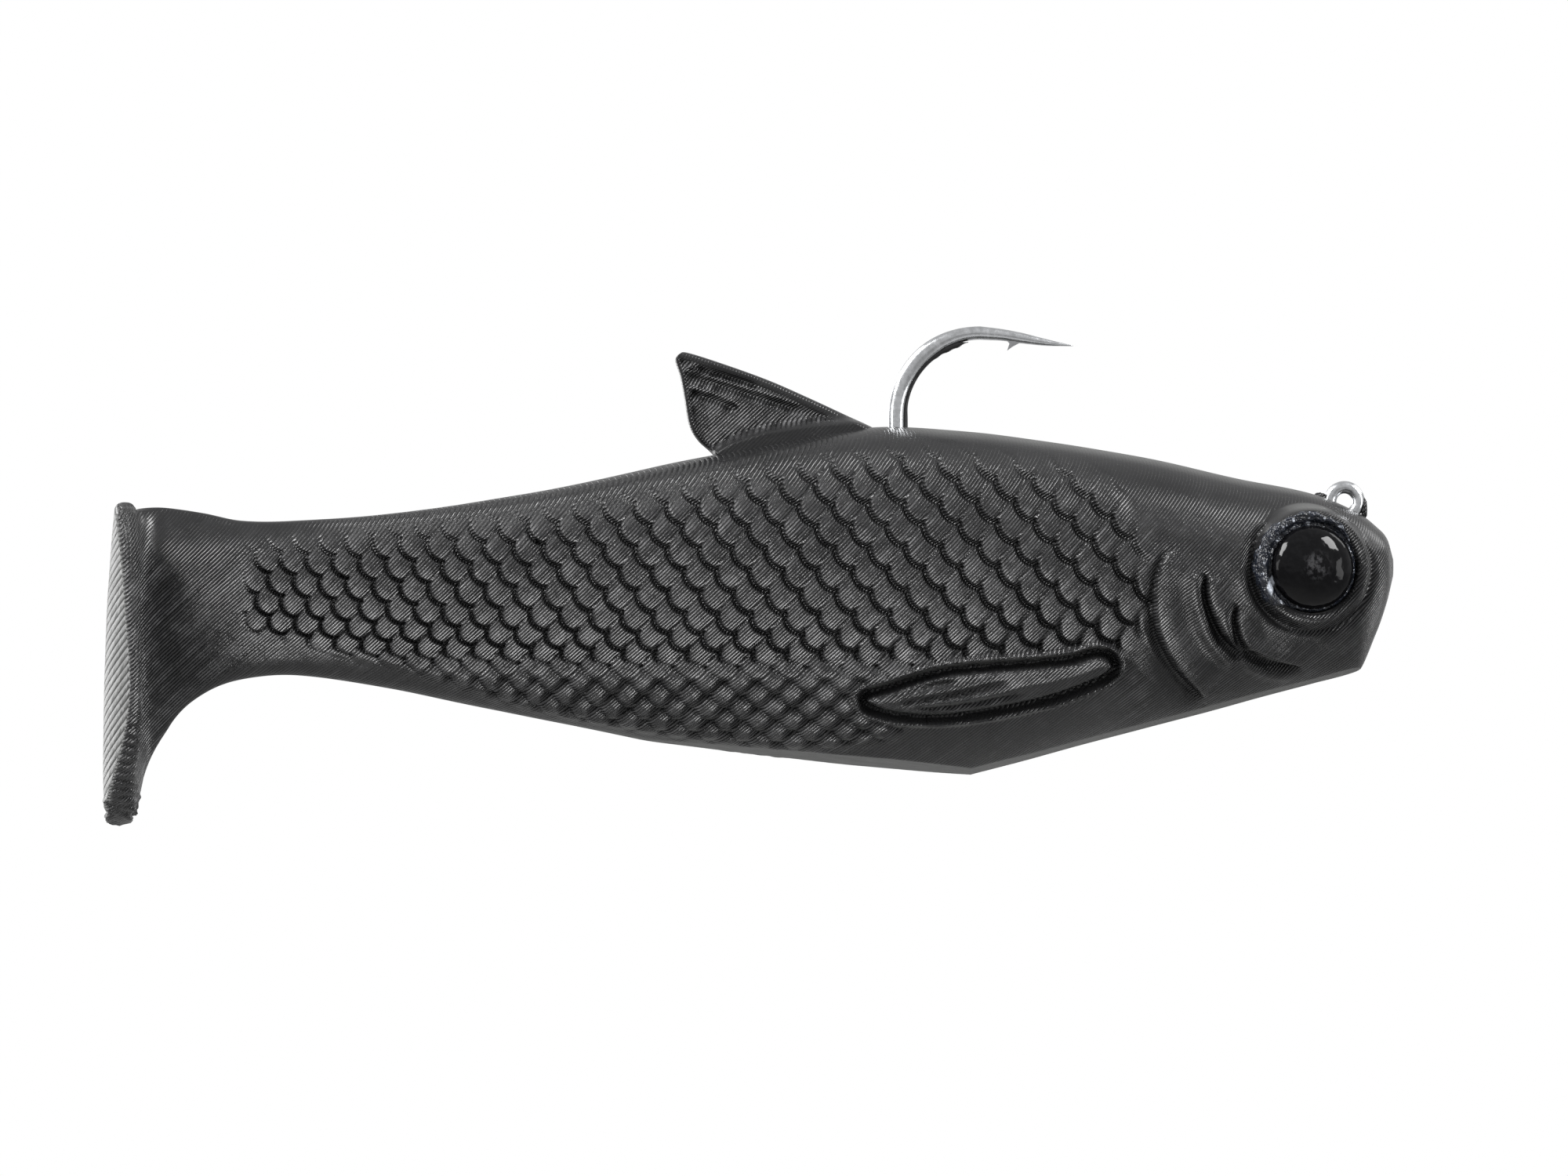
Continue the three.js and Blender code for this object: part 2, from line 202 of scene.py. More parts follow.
def section(x):
    """One loop of the body at x."""
    back, keel, wide = (float(smooth(STATIONS, c, x)) for c in (1, 2, 3))
    widest = back - WIDEST_AT * (back - keel)
    angle = np.linspace(0, math.pi, 500)
    up = np.sign(np.cos(angle)) * np.abs(np.cos(angle)) ** (2 / SECTION_POWER)
    out = np.abs(np.sin(angle)) ** (2 / SECTION_POWER)
    z = widest + np.where(up > 0, back - widest, widest - keel) * up
    z = soft_max(z, belly_floor(x), BELLY_EDGE_SOFTNESS)
    y, z = even_loop(wide * out, z)
    return np.stack([np.full(AROUND, x), y, z], axis=1)


def body_sections():
    """x of every section, from the nose back; they crowd together where the snout rounds off."""
    snout = NOSE_X - SNOUT * np.linspace(0, 1, 36) ** 1.9
    rest = np.arange(snout[-1] - STEP, WEB_END_X, -STEP)
    return np.concatenate([snout, rest, [WEB_END_X]])


# ---- the paddle: the web's last loop flares into it ----


def paddle_rear_x(y, z):
    """Where the paddle's rear face stands: it leans forward at the top and at its sides."""
    lean = (z - PADDLE_REARMOST[1]) / (PADDLE[0, 0] - PADDLE_REARMOST[1])
    return PADDLE_REARMOST[0] + PADDLE_LEAN * lean * lean + PADDLE_BULGE * y * y


def paddle_rear_normal(points):
    """Unit normals of the paddle's rear face, whose loops close in to a line."""
    y, z = points[..., 1], points[..., 2]
    span = PADDLE[0, 0] - PADDLE_REARMOST[1]
    rise = 2 * PADDLE_LEAN * (z - PADDLE_REARMOST[1]) / span**2
    normal = np.stack([np.full(y.shape, -1.0), 2 * PADDLE_BULGE * y, rise], axis=-1)
    return normal / np.linalg.norm(normal, axis=-1)[..., None]


def paddle_outline():
    """The paddle's outline seen from behind."""
    z = np.linspace(PADDLE[0, 0], PADDLE[-1, 0], 600)
    half = smooth(PADDLE, 1, z)
    y = np.concatenate([[0], half, [0]])
    z = np.concatenate([[z[0] + 0.15], z, [z[-1] - 0.15]])
    return even_loop(y, z)


def paddle_loops(web):
    """Loops from the web out to the rim, round it, and in over the rear face.

    The web is carried to the rim along Bezier curves.
    """
    y, z = paddle_outline()
    thick = smooth(PADDLE, 2, np.clip(z, PADDLE[-1, 0], PADDLE[0, 0]))
    rear = paddle_rear_x(y, z)
    rim = np.stack([rear + thick, y, z], axis=1)
    before = section(WEB_END_X + 1.0)
    along = web - before
    along /= np.linalg.norm(along, axis=1)[:, None]
    out = rim - web
    out[:, 0] = 0
    reach = np.linalg.norm(out, axis=1)
    length = np.linalg.norm(rim - web, axis=1)[:, None]
    first = web + along * np.minimum(WEB_RUN, 0.5 * length)
    second = rim - out * 0.5
    second[:, 0] -= PADDLE_BULGE * 1.5 * (y * y) * 0.5 * np.minimum(1, reach / 8)
    second[:, 0] += TIP_FLARE * step(-30, -38, z)
    loops = []
    for t in np.linspace(0, 1, WEB_LOOPS + 1)[1:]:
        s = 1 - t
        loops.append(s**3 * web + 3 * s * s * t * first + 3 * s * t * t * second + t**3 * rim)
    outward = np.stack([np.zeros(AROUND), y, z - z.mean()], axis=1)
    outward /= np.linalg.norm(outward, axis=1)[:, None]
    for angle in np.linspace(0, math.pi, RIM_LOOPS + 1)[1:]:
        bead = 0.5 * thick * math.sin(angle)
        loop = rim + outward * bead[:, None] * RIM_ROUND
        loop[:, 0] = rear + thick * (0.5 + 0.5 * math.cos(angle))
        loops.append(loop)
    for part in np.linspace(0, 1, FACE_LOOPS + 2)[1:-1]:
        shrink = 1 - part
        inner_z = z * shrink + (z.mean() + (z - z.mean()) * 0.75) * part
        inner_y = y * shrink
        loops.append(np.stack([paddle_rear_x(inner_y, inner_z), inner_y, inner_z], axis=1))
    return loops


# ---- relief: everything that stands out of or sinks into the smooth form ----

# Relief is laid out on a side view taken from slightly below: height in that view is
# z + VIEW_TILT * |y|.
VIEW_TILT = math.tan(math.radians(5))

# Scales: spacing along the fish where they are largest, how it shrinks to the tail, and the
# height of a row. Each free edge is an arc that bulges to the tail and a little down.
SCALE_AT = (-42.9, 0.2)
SCALE_PITCH = 4.65
SCALE_PITCH_SLOPE = 0.0165
SCALE_ROW = 2.75
SCALE_BEND = 0.0006
SCALE_BEND_X = -78.0
SCALE_FACING = math.radians(196)
SCALE_DEEP = math.radians(232)  # where the hollow at an edge's foot is deepest
SCALE_LENGTH = 0.56  # half length and half width, in pitches
SCALE_WIDTH = 0.56
SCALE_RISE = 0.8
SCALE_HOLLOW = 0.5
SCALE_SHIFT = 0.52  # how far each row is moved along from the one above, in pitches
SCALE_SQUEEZE_FROM = 13.0  # below this the rows close up, as the flank turns under
SCALE_SQUEEZE = 0.0125
PEBBLES_FROM = 6.0  # this much further down the scales turn into round pebbles, over
PEBBLES_OVER = 2.5
SCALES_START = (-22.3, -25.5)  # x over which they set in behind the gill cover
SCALES_END = (-137.5, -134.0)
CHEST_END = (-52, -58)  # ahead of this, and below the next, the chest has none
CHEST_TOP = (-25.5, -22.5)
# Upper and lower limit of the scales, as x and z.
SCALE_TOP = np.array([
    [-22, -2.0], [-31, 3.6], [-42, 5.6], [-56, 6.6], [-70, 4.6], [-90, 0.4], [-110, -2.8],
    [-140, -5.8],
])
SCALE_BOTTOM = np.array([
    [-22, -19.5], [-45, -21.5], [-54, -28.5], [-66, -30.5], [-80, -29.5], [-98, -26.5],
    [-118, -20.5], [-140, -15.0],
])

# Head creases, as points (x, z) from top to bottom.
GILL_EDGE = [
    (-21.0, -5.0), (-22.9, -7.4), (-23.9, -10.5), (-24.1, -13.2), (-23.4, -17.0),
    (-21.2, -21.0), (-17.8, -24.7),
]
PREOPERCLE = [(-17.5, -8.6), (-17.7, -11.2), (-17.1, -13.8), (-15.7, -16.8), (-13.0, -19.8)]
JAW = [(-13.6, -12.6), (-14.0, -15.0), (-12.9, -18.3), (-9.6, -20.3), (-5.6, -20.9)]

# The eye: its middle, how far its plane turns forward, and the dome's heights over that plane.
EYE_AT = (-4.3, 9.7, -9.1)
EYE_TOE = math.radians(12)
DOME_RADIUS = 5.2
DOME_BASE = -0.3
DOME_SIDE = 0.5
DOME_TOP = 2.9
DOME_SIDES = 128
ORBIT_EDGE = 7.9  # outside this the orbit falls back to the head

# Where the head's creases and the pectoral fin are: least and greatest x, then z.
HEAD_BOX = (-28, 4, -99, 1)
PECTORAL_BOX = (-66, -25, -33, -14)

# The pectoral fin's outline and the creases between its rays.
PECTORAL = [
    (-59.4, -24.6), (-56.3, -23.5), (-49.2, -21.5), (-39.5, -20.6), (-34.4, -20.1),
    (-31.0, -19.2), (-29.4, -19.8), (-29.9, -21.3), (-35.9, -23.7), (-43.2, -25.4),
    (-50.4, -26.3), (-56.5, -25.9),
]
PECTORAL_RAYS = [
    [(-57.7, -24.0), (-52.0, -22.7), (-47.2, -22.0)],
    [(-55.3, -24.9), (-49.6, -24.0), (-44.8, -23.0), (-41.0, -22.1)],
    [(-53.4, -25.7), (-48.6, -25.2), (-43.9, -24.4), (-39.1, -23.3)],
]


def curve(points, count=120, closed=False):
    """Evenly spaced points of a smooth curve through the given ones."""
    p = np.array(points, float)
    if closed:
        ring = np.concatenate([p[-1:], p, p[:2]])
        spans = len(p)
    else:
        ring = np.concatenate([2 * p[:1] - p[1:2], p, 2 * p[-1:] - p[-2:-1]])
        spans = len(p) - 1
    t = np.linspace(0, spans, 40 * spans + 1)
    i = np.minimum(t.astype(int), spans - 1)
    f = (t - i)[:, None]
    a, b, c, d = ring[i], ring[i + 1], ring[i + 2], ring[i + 3]
    bend = 2 * a - 5 * b + 4 * c - d
    twist = 3 * b - a - 3 * c + d
    fine = 0.5 * (2 * b + (c - a) * f + bend * f**2 + twist * f**3)
    run = np.concatenate([[0], np.cumsum(np.linalg.norm(np.diff(fine, axis=0), axis=1))])
    at = np.linspace(0, run[-1], count)
    return np.stack([np.interp(at, run, fine[:, k]) for k in range(2)], axis=1)


def from_curve(line, x, z):
    """Signed distance from a curve (positive on its left) and the part of the way along it."""
    best = np.full(x.shape, 1e9)
    side = np.zeros(x.shape)
    along = np.zeros(x.shape)
    tangent = np.gradient(line, axis=0)
    tangent /= np.linalg.norm(tangent, axis=1)[:, None]
    for k, ((px, pz), (tx, tz)) in enumerate(zip(line, tangent)):
        dx, dz = x - px, z - pz
        d = np.hypot(dx, dz)
        near = d < best
        best = np.minimum(best, d)
        side = np.where(near, tx * dz - tz * dx, side)
        along = np.where(near, k / (len(line) - 1), along)
    return np.where(side < 0, -best, best), along


def from_outline(line, x, z):
    """Distance from a closed outline, positive inside it."""
    away, _ = from_curve(line, x, z)
    inside = np.zeros(x.shape, bool)
    for (ax, az), (bx, bz) in zip(line, np.roll(line, -1, axis=0)):
        if az != bz:
            crosses = (z > az) != (z > bz)
            inside ^= crosses & (x < ax + (z - az) * (bx - ax) / (bz - az))
    return np.where(inside, np.abs(away), -np.abs(away))


def valley(d, width):
    """1 where d is 0, falling off smoothly over the width on both sides."""
    return np.exp(-((d / width) ** 2))


def scale_relief(x, z):
    """Overlapping scales: each rises to a free edge, drops off it and has a hollow at its foot."""
    pitch = SCALE_PITCH + SCALE_PITCH_SLOPE * (x - SCALE_AT[0])
    column = np.log(pitch / SCALE_PITCH) / SCALE_PITCH_SLOPE
    centre = SCALE_AT[1] + SCALE_BEND * ((x - SCALE_BEND_X) ** 2 - (SCALE_AT[0] - SCALE_BEND_X) ** 2)
    below = centre - z
    low = np.maximum(below - SCALE_SQUEEZE_FROM, 0)
    row = below / SCALE_ROW + SCALE_SQUEEZE * low * low
    spacing = 1 / (1 / SCALE_ROW + 2 * SCALE_SQUEEZE * low)
    facing = (math.cos(SCALE_FACING), math.sin(SCALE_FACING))
    deep = (math.cos(SCALE_DEEP), math.sin(SCALE_DEEP))
    pebbled = np.clip((low - PEBBLES_FROM) / PEBBLES_OVER, 0, 1)
    lobes = []
    for dj in range(-2, 4):
        j = np.floor(row) + dj
        shift = SCALE_SHIFT * j
        for di in range(-1, 3):
            i = np.floor(column - shift) + di
            dx = (column - shift - i) * pitch
            dz = (j - row) * spacing
            ahead = (dx * facing[0] + dz * facing[1]) / (SCALE_LENGTH * pitch)
            across = (dx * facing[1] - dz * facing[0]) / (SCALE_WIDTH * pitch * spacing / SCALE_ROW)
            reach = np.hypot(ahead, across)
            pebble = np.hypot(dx / (0.5 * pitch), dz / (1.05 * spacing))
            reach += (pebble - reach) * pebbled
            rise = np.clip((ahead + 0.7) / 1.7, 0, 1) ** 1.3
            rise += (1 - rise) * pebbled
            roll = 1 - (0.4 + 0.45 * pebbled) * np.clip((reach - 0.2) / 0.8, 0, 1) ** 2
            under = np.clip((dx * deep[0] + dz * deep[1]) / np.maximum(np.hypot(dx, dz), 0.01), 0, 1)
            lobes.append((reach, rise * roll, 0.4 + 0.6 * np.maximum(under, pebbled)))
    height = np.zeros(x.shape)
    for reach, rise, _ in lobes:
        height = np.maximum(height, rise * step(1.02, 0.93, reach))
    hollow = np.zeros(x.shape)
    for reach, rise, under in lobes:
        foot = valley(reach - 1.09, 0.1) * step(0.0, 0.3, rise - height)
        hollow = np.maximum(hollow, foot * under)
    return (SCALE_RISE * height - SCALE_HOLLOW * hollow) * (1 + 0.6 * pebbled)


def pectoral_relief(x, z, inside):
    """A raised fin lying in a groove with a lip round it."""
    plate = 0.8 * step(-0.2, 0.4, inside) + 0.3 * step(0.4, 2.2, inside)
    groove = -0.95 * valley(inside + 0.55, 0.45)
    lip = 0.8 * valley(inside + 1.35, 0.3)
    rays = np.zeros(x.shape)
    for ray in PECTORAL_RAYS:
        away, along = from_curve(curve(ray, 60), x, z)
        reach = step(1.0, 0.7, along) * step(-0.02, 0.1, along)
        rays += reach * (0.2 * valley(away - 0.65, 0.35) - 0.5 * valley(away, 0.32))
    return plate + groove + lip + rays * step(0.2, 0.9, inside)


def crease(points, x, z, full_from, fade_from):
    """Distance from a crease, the part of the way along it, and how it fades at its ends."""
    d, along = from_curve(curve(points), x, z)
    return d, along, step(0.0, full_from, along) * step(1.02, fade_from, along)


def cut_with_fold(d, width, fold, ledge_end):
    """A cut with a soft fold on one side of it and a low ledge on the other."""
    height, spread = fold
    ledge = 0.5 * step(0.1, 0.8, d) * step(ledge_end, 1.0, d)
    return height * valley(d + 1.2, spread) + ledge - valley(d / width, 0.9)


def gill_relief(x, z):
    """The gill cover, its inner crease, the jaw line and the hollows beside them."""
    d, along, ends = crease(GILL_EDGE, x, z, 0.16, 0.93)
    plate = step(-0.15, 0.75, d) * step(7.0, 0.9, d)
    groove = valley(d + 0.25, 0.4 + 0.35 * along)
    beside = valley(d + 1.3, 1.1) * step(0.4, 0.8, along)
    hollow = valley(d - 4.1, 1.5) * step(0.05, 0.4, along)
    cover = ends * ((0.5 + 0.5 * along) * (0.8 * plate - 0.75 * groove) - 0.4 * beside - 0.4 * hollow)
    d, along, ends = crease(PREOPERCLE, x, z, 0.14, 0.93)
    width = 0.35 + 0.55 * step(0.25, 0.85, along)
    inner = ends * cut_with_fold(d, width, (0.45, 0.8), 3.8)
    d, along, ends = crease(JAW, x, z, 0.1, 0.88)
    width = 0.35 + 0.5 * step(0.2, 0.6, along) * step(1.0, 0.7, along)
    return cover + inner + ends * cut_with_fold(d, width, (0.3, 0.7), 3.6)


def paddle_relief(x, z, first_row):
    """Coarse beads round the paddle's rim, large near its bottom, and a torn lump at its tip."""
    rim = np.zeros(x.shape)
    rim[first_row + WEB_LOOPS - 5 : first_row + WEB_LOOPS + RIM_LOOPS - 3] = 1
    large = step(-26, -29, z)
    beads = (0.07 + 0.2 * large) * np.abs(np.sin(math.pi * z / (0.6 + 0.45 * large)))
    torn = 0.35 * step(-36.3, -37.8, z) * ripple(x, z, 2.2, 0.6)
    return rim * beads + step(-149, -150, x) * torn


# ---- the whole skin as one grid ----


def grid_normals(grid):
    """Unit normals of a grid of loops, pointing out."""
    along = np.gradient(grid, axis=0)
    around = np.roll(grid, -1, axis=1) - np.roll(grid, 1, axis=1)
    normal = np.cross(around, along)
    length = np.linalg.norm(normal, axis=2)[:, :, None]
    return normal / np.maximum(length, 1e-9)


def eye_frame(side):
    """Origin and axes (forward, up, out) of an eye's plane on the head."""
    out = np.array([math.sin(EYE_TOE), side * math.cos(EYE_TOE), 0.0])
    forward = np.array([math.cos(EYE_TOE), -side * math.sin(EYE_TOE), 0.0])
    origin = np.array([EYE_AT[0], side * EYE_AT[1], EYE_AT[2]])
    up = np.array([0.0, 0.0, 1.0])
    return origin, forward, up, out


def orbit_profile(r):
    """Height of the orbit over the eye's plane at a distance from the eye's axis."""
    seat = -1.3 * step(5.7, 5.45, r)
    ledge = 0.5 * step(5.45, 6.1, r)
    rim = 0.25 * valley(r - 6.6, 0.5)
    return seat + (ledge + rim - 1.5 * step(ORBIT_EDGE - 1.0, ORBIT_EDGE, r))


def press_orbit(points, side):
    """Moves the skin round an eye onto the orbit's own surface."""
    origin, forward, up, out = eye_frame(side)
    rel = points - origin
    a, b, c = rel @ forward, rel @ up, rel @ out
    r = np.hypot(a, b)
    here = (c > -6) & (r < 9.4)
    target = orbit_profile(np.minimum(r, 8.4))
    weight = step(9.2, 7.7, r)
    moved = c * (1 - weight) + target * weight
    sunk = np.minimum(moved, c) * step(7.4, 8.4, r) + moved * step(8.4, 7.4, r)
    return points + np.where(here, sunk - c, 0)[..., None] * out


def rear_face_row(xs):
    """The first loop of the grid that lies on the paddle's rear face."""
    return len(xs) + WEB_LOOPS + RIM_LOOPS - 1


def within(box, x, z):
    """Which points lie in a box given as its least and greatest x, then z."""
    return (x > box[0]) & (x < box[1]) & (z > box[2]) & (z < box[3])


def whole_skin():
    """Where the sections stand, the skin's grid and normals, how scaled it is, how proud."""
    xs = body_sections()
    loops = [section(x) for x in xs]
    loops += paddle_loops(loops[-1])
    grid = np.array(loops)
    normal = grid_normals(grid)
    x, y = grid[..., 0], grid[..., 1]
    z = grid[..., 2] + VIEW_TILT * np.abs(y)
    flank = step(0.3, 0.62, np.abs(normal[..., 1]))

    lengthwise = step(*SCALES_END, x) * step(*SCALES_START, x + 0.35 * np.abs(z + 11))
    above = z - smooth(SCALE_TOP, 1, x)
    below = z - smooth(SCALE_BOTTOM, 1, x)
    scaled = lengthwise * step(1.2, -4.0, above) * step(-1.0, 1.2, below) * flank
    fin = within(PECTORAL_BOX, x, z)
    inside_fin = from_outline(curve(PECTORAL, 220, closed=True), x[fin], z[fin])
    scaled[fin] *= step(1.0, 2.2, -inside_fin)
    scaled *= np.clip(step(*CHEST_END, x) + step(*CHEST_TOP, z), 0, 1)

    relief = scaled * (scale_relief(x, z) - 0.45 * SCALE_RISE)
    relief[fin] += pectoral_relief(x[fin], z[fin], inside_fin) * flank[fin]
    head = within(HEAD_BOX, x, z)
    relief[head] += gill_relief(x[head], z[head]) * flank[head]
    relief += 0.05 * ripple(x, z, 0.21) * step(NOSE_X, NOSE_X - SNOUT, x)
    relief += paddle_relief(x, z, len(xs))
    proud = step(-0.4, 0.15, relief)
    grid = grid + normal * relief[..., None]
    for side in (-1, 1):
        half = y * side > 0
        grid[half] = press_orbit(grid[half], side)
    normals = grid_normals(grid)
    inner = rear_face_row(xs) + 2
    normals[inner:] = paddle_rear_normal(grid[inner:])
    return xs, grid, normals, scaled, proud


# ---- meshes ----


def add_object(name, data):
    obj = bpy.data.objects.new(name, data)
    bpy.context.scene.collection.objects.link(obj)
    return obj


def new_object(name, vertices, faces, material, smooth_faces=True):
    """A mesh object from points in mm."""
    mesh = bpy.data.meshes.new(name)
    mesh.from_pydata((np.asarray(vertices) * MM).tolist(), [], faces)
    mesh.polygons.foreach_set("use_smooth", [smooth_faces] * len(mesh.polygons))
    mesh.materials.append(material)
    mesh.update()
    return add_object(name, mesh)


def loop_faces(rows, columns):
    """Quads between neighbouring loops, facing out for loops that run back along the fish."""
    i = np.arange(rows - 1)[:, None] * columns
    j = np.arange(columns)[None, :]
    k = (j + 1) % columns
    quads = np.stack([i + j, i + k, i + columns + k, i + columns + j], axis=-1)
    return quads.reshape(-1, 4).tolist()


def closed_tube(loops, front_point=None, rear_point=None):
    """Points and faces of a tube of loops, closed at both ends by fans."""
    rows, columns = loops.shape[:2]
    front = loops[0].mean(axis=0) if front_point is None else front_point
    rear = loops[-1].mean(axis=0) if rear_point is None else rear_point
    points = np.concatenate([loops.reshape(-1, 3), [front, rear]])
    faces = loop_faces(rows, columns)
    a, b = rows * columns, rows * columns + 1
    last = (rows - 1) * columns
    for j in range(columns):
        k = (j + 1) % columns
        faces.append([a, k, j])
        faces.append([b, last + j, last + k])
    return points, faces


def point_values(obj, name, values):
    """Gives each point of a mesh a number that its material can read."""
    attribute = obj.data.attributes.new(name, "FLOAT", "POINT")
    attribute.data.foreach_set("value", np.asarray(values, np.float32))


def plastic_values(obj, points, ridged, painted_glint):
    """What the plastic's material reads from a piece that isn't part of the skin."""
    point_values(obj, "layer_mm", points @ LAYER_NORMAL)
    point_values(obj, "ridged", ridged)
    # How strongly the ridges' crests are painted paler as glints.
    point_values(obj, "painted_glint", painted_glint)
    point_values(obj, "seam_and_painted_light", np.zeros(len(points)))


def with_ends(values):
    """Values of a tube's loops, followed by those of the two points that close it."""
    return np.concatenate([values.reshape(-1), [values[0].mean(), values[-1].mean()]])


# Where the plastic's surface changes along the fish: x where a change starts and is done.
SMOOTH_BACK = (-75, -55)
SMOOTH_BELLY = (-24, -30)
SMOOTH_WEB = (-151, -149)
# Painted light on the paddle's rear face, a painted reflection of the floor on the underside, then
# the paler seam on the back:
PAINTED_LIGHT_REAR = (-150, -151)
PAINTED_REFLECTION_BELLY = (-100, -90)
BACK_SEAM = (-58, -50)
# x over which the painted glints on the ridges' crests grow to full strength behind the head
GLINT_BEHIND_HEAD = (-22, -26)


def skin_piece(name, skin, first, last):
    """One closed length of the skin, between two loops, shaded as part of the whole."""
    xs, grid, normals, raised, proud = skin
    loops = grid[first : last + 1]
    points, faces = closed_tube(loops)
    obj = new_object(name, points, faces, PLASTIC)
    flat = normals[first : last + 1].reshape(-1, 3)
    ends = [[1.0, 0, 0], [-1.0, 0, 0]]
    obj.data.normals_split_custom_set_from_vertices(flat.tolist() + ends)
    x, z = loops[..., 0], loops[..., 2]
    layers = points @ LAYER_NORMAL
    row = np.repeat(np.arange(first, last + 1), AROUND)
    on_rear_face = np.concatenate([row >= rear_face_row(xs), [False, True]])
    layers = np.where(on_rear_face, points @ REAR_STEPS, layers)
    point_values(obj, "layer_mm", layers)
    upturned = flat[:, 2].reshape(x.shape)
    plain = 1 - raised[first : last + 1]
    smooth_back = step(0.15, 0.45, upturned) * step(*SMOOTH_BACK, x) * plain
    smooth_tail = step(-10, -4, z) * step(*BELLY_ENDS, x) * step(*SMOOTH_WEB, x) * plain
    smooth_belly = 0.8 * step(0.3, 0.5, -upturned) * step(*SMOOTH_BELLY, x) * plain
    ridged = 1 - 0.88 * np.maximum(np.maximum(smooth_back, smooth_tail), smooth_belly)
    # Painted light: the paddle's rear face is painted paler as if lit from the side, and the front
    # part of the flat underside is painted paler as a painted reflection of the floor. On the front
    # of the back the seam is made paler too.
    backward = step(0.6, 0.85, -flat[:, 0].reshape(x.shape)) * step(*PAINTED_LIGHT_REAR, x)
    downward = step(0.9, 0.97, -upturned) * step(*PAINTED_REFLECTION_BELLY, x)
    seam = step(0.85, 0.97, upturned) * step(*BACK_SEAM, x)
    seam_and_painted_light = np.maximum(np.maximum(backward, downward), 0.6 * seam)
    point_values(obj, "seam_and_painted_light", with_ends(seam_and_painted_light))
    point_values(obj, "ridged", with_ends(ridged))
    # Painted glints: the ridges' crests on raised relief are painted paler, less on faces turned up
    # and on the head.
    glint_mask = step(0.6, 0.25, upturned) * (0.45 + 0.55 * step(*GLINT_BEHIND_HEAD, x))
    painted_glint = ridged * proud[first : last + 1] * glint_mask
    point_values(obj, "painted_glint", with_ends(painted_glint))
    return obj


# ---- materials ----


class Nodes:
    """Short calls for building the node tree of a material or of the world."""

    def __init__(self, owner, shader="Principled BSDF"):
        self.owner = owner
        owner.use_nodes = True
        self.tree = owner.node_tree
        self.shader = self.tree.nodes[shader]

    def node(self, kind, **settings):
        made = self.tree.nodes.new(kind)
        for key, value in settings.items():
            setattr(made, key, value)
        return made

    def link(self, source, target):
        self.tree.links.new(source, target)

    def put(self, socket, value):
        if isinstance(value, bpy.types.NodeSocket):
            self.link(value, socket)
        else:
            socket.default_value = value

    def math(self, operation, a, b=0.0):
        made = self.node("ShaderNodeMath", operation=operation)
        self.put(made.inputs[0], a)
        self.put(made.inputs[1], b)
        return made.outputs[0]

    def times(self, a, b):
        return self.math("MULTIPLY", a, b)

    def set(self, name, value):
        """Sets one input of the shader, to a number or to what a node gives."""
        self.put(self.shader.inputs[name], value)

    def attribute(self, name):
        return self.node("ShaderNodeAttribute", attribute_name=name).outputs["Fac"]

    def noise(self, scale, detail=3.0, roughness=0.5):
        made = self.node("ShaderNodeTexNoise")
        for name, value in (("Scale", scale), ("Detail", detail), ("Roughness", roughness)):
            self.put(made.inputs[name], value)
        self.link(self.node("ShaderNodeTexCoord").outputs["Object"], made.inputs["Vector"])
        return made.outputs["Fac"]

    def row_values(self, rows):
        """One steady value between 0 and 1 for each whole row."""
        made = self.node("ShaderNodeTexWhiteNoise", noise_dimensions="1D")
        self.link(self.math("FLOOR", rows), made.inputs["W"])
        return made.outputs["Value"]

    def ramp(self, value, low, high, out_low=0.0, out_high=1.0, shape="LINEAR"):
        made = self.node("ShaderNodeMapRange", interpolation_type=shape)
        for socket, number in zip(made.inputs, (value, low, high, out_low, out_high)):
            self.put(socket, number)
        return made.outputs[0]

    def mix_colour(self, fac, a, b):
        made = self.node("ShaderNodeMix", data_type="RGBA")
        self.put(made.inputs["Factor"], fac)
        self.put(made.inputs[6], a)
        self.put(made.inputs[7], b)
        return made.outputs[2]

    def bump(self, height, distance, strength=1.0, below=None):
        made = self.node("ShaderNodeBump")
        for name, value in (("Height", height), ("Distance", distance), ("Strength", strength)):
            self.put(made.inputs[name], value)
        if below is not None:
            self.link(below, made.inputs["Normal"])
        return made.outputs["Normal"]


DARK_PLASTIC = (0.010, 0.010, 0.0105, 1)
PALER_PLASTIC = (0.014, 0.014, 0.0146, 1)
# Colour of the painted glints on the ridges' crests.
GLINT_GREY = (0.13, 0.13, 0.133, 1)
# Paler grey for the painted light and painted reflection on the rear face and underside, and for the
# back's seam.
SEAM_AND_LIT_GREY = (0.075, 0.076, 0.074, 1)


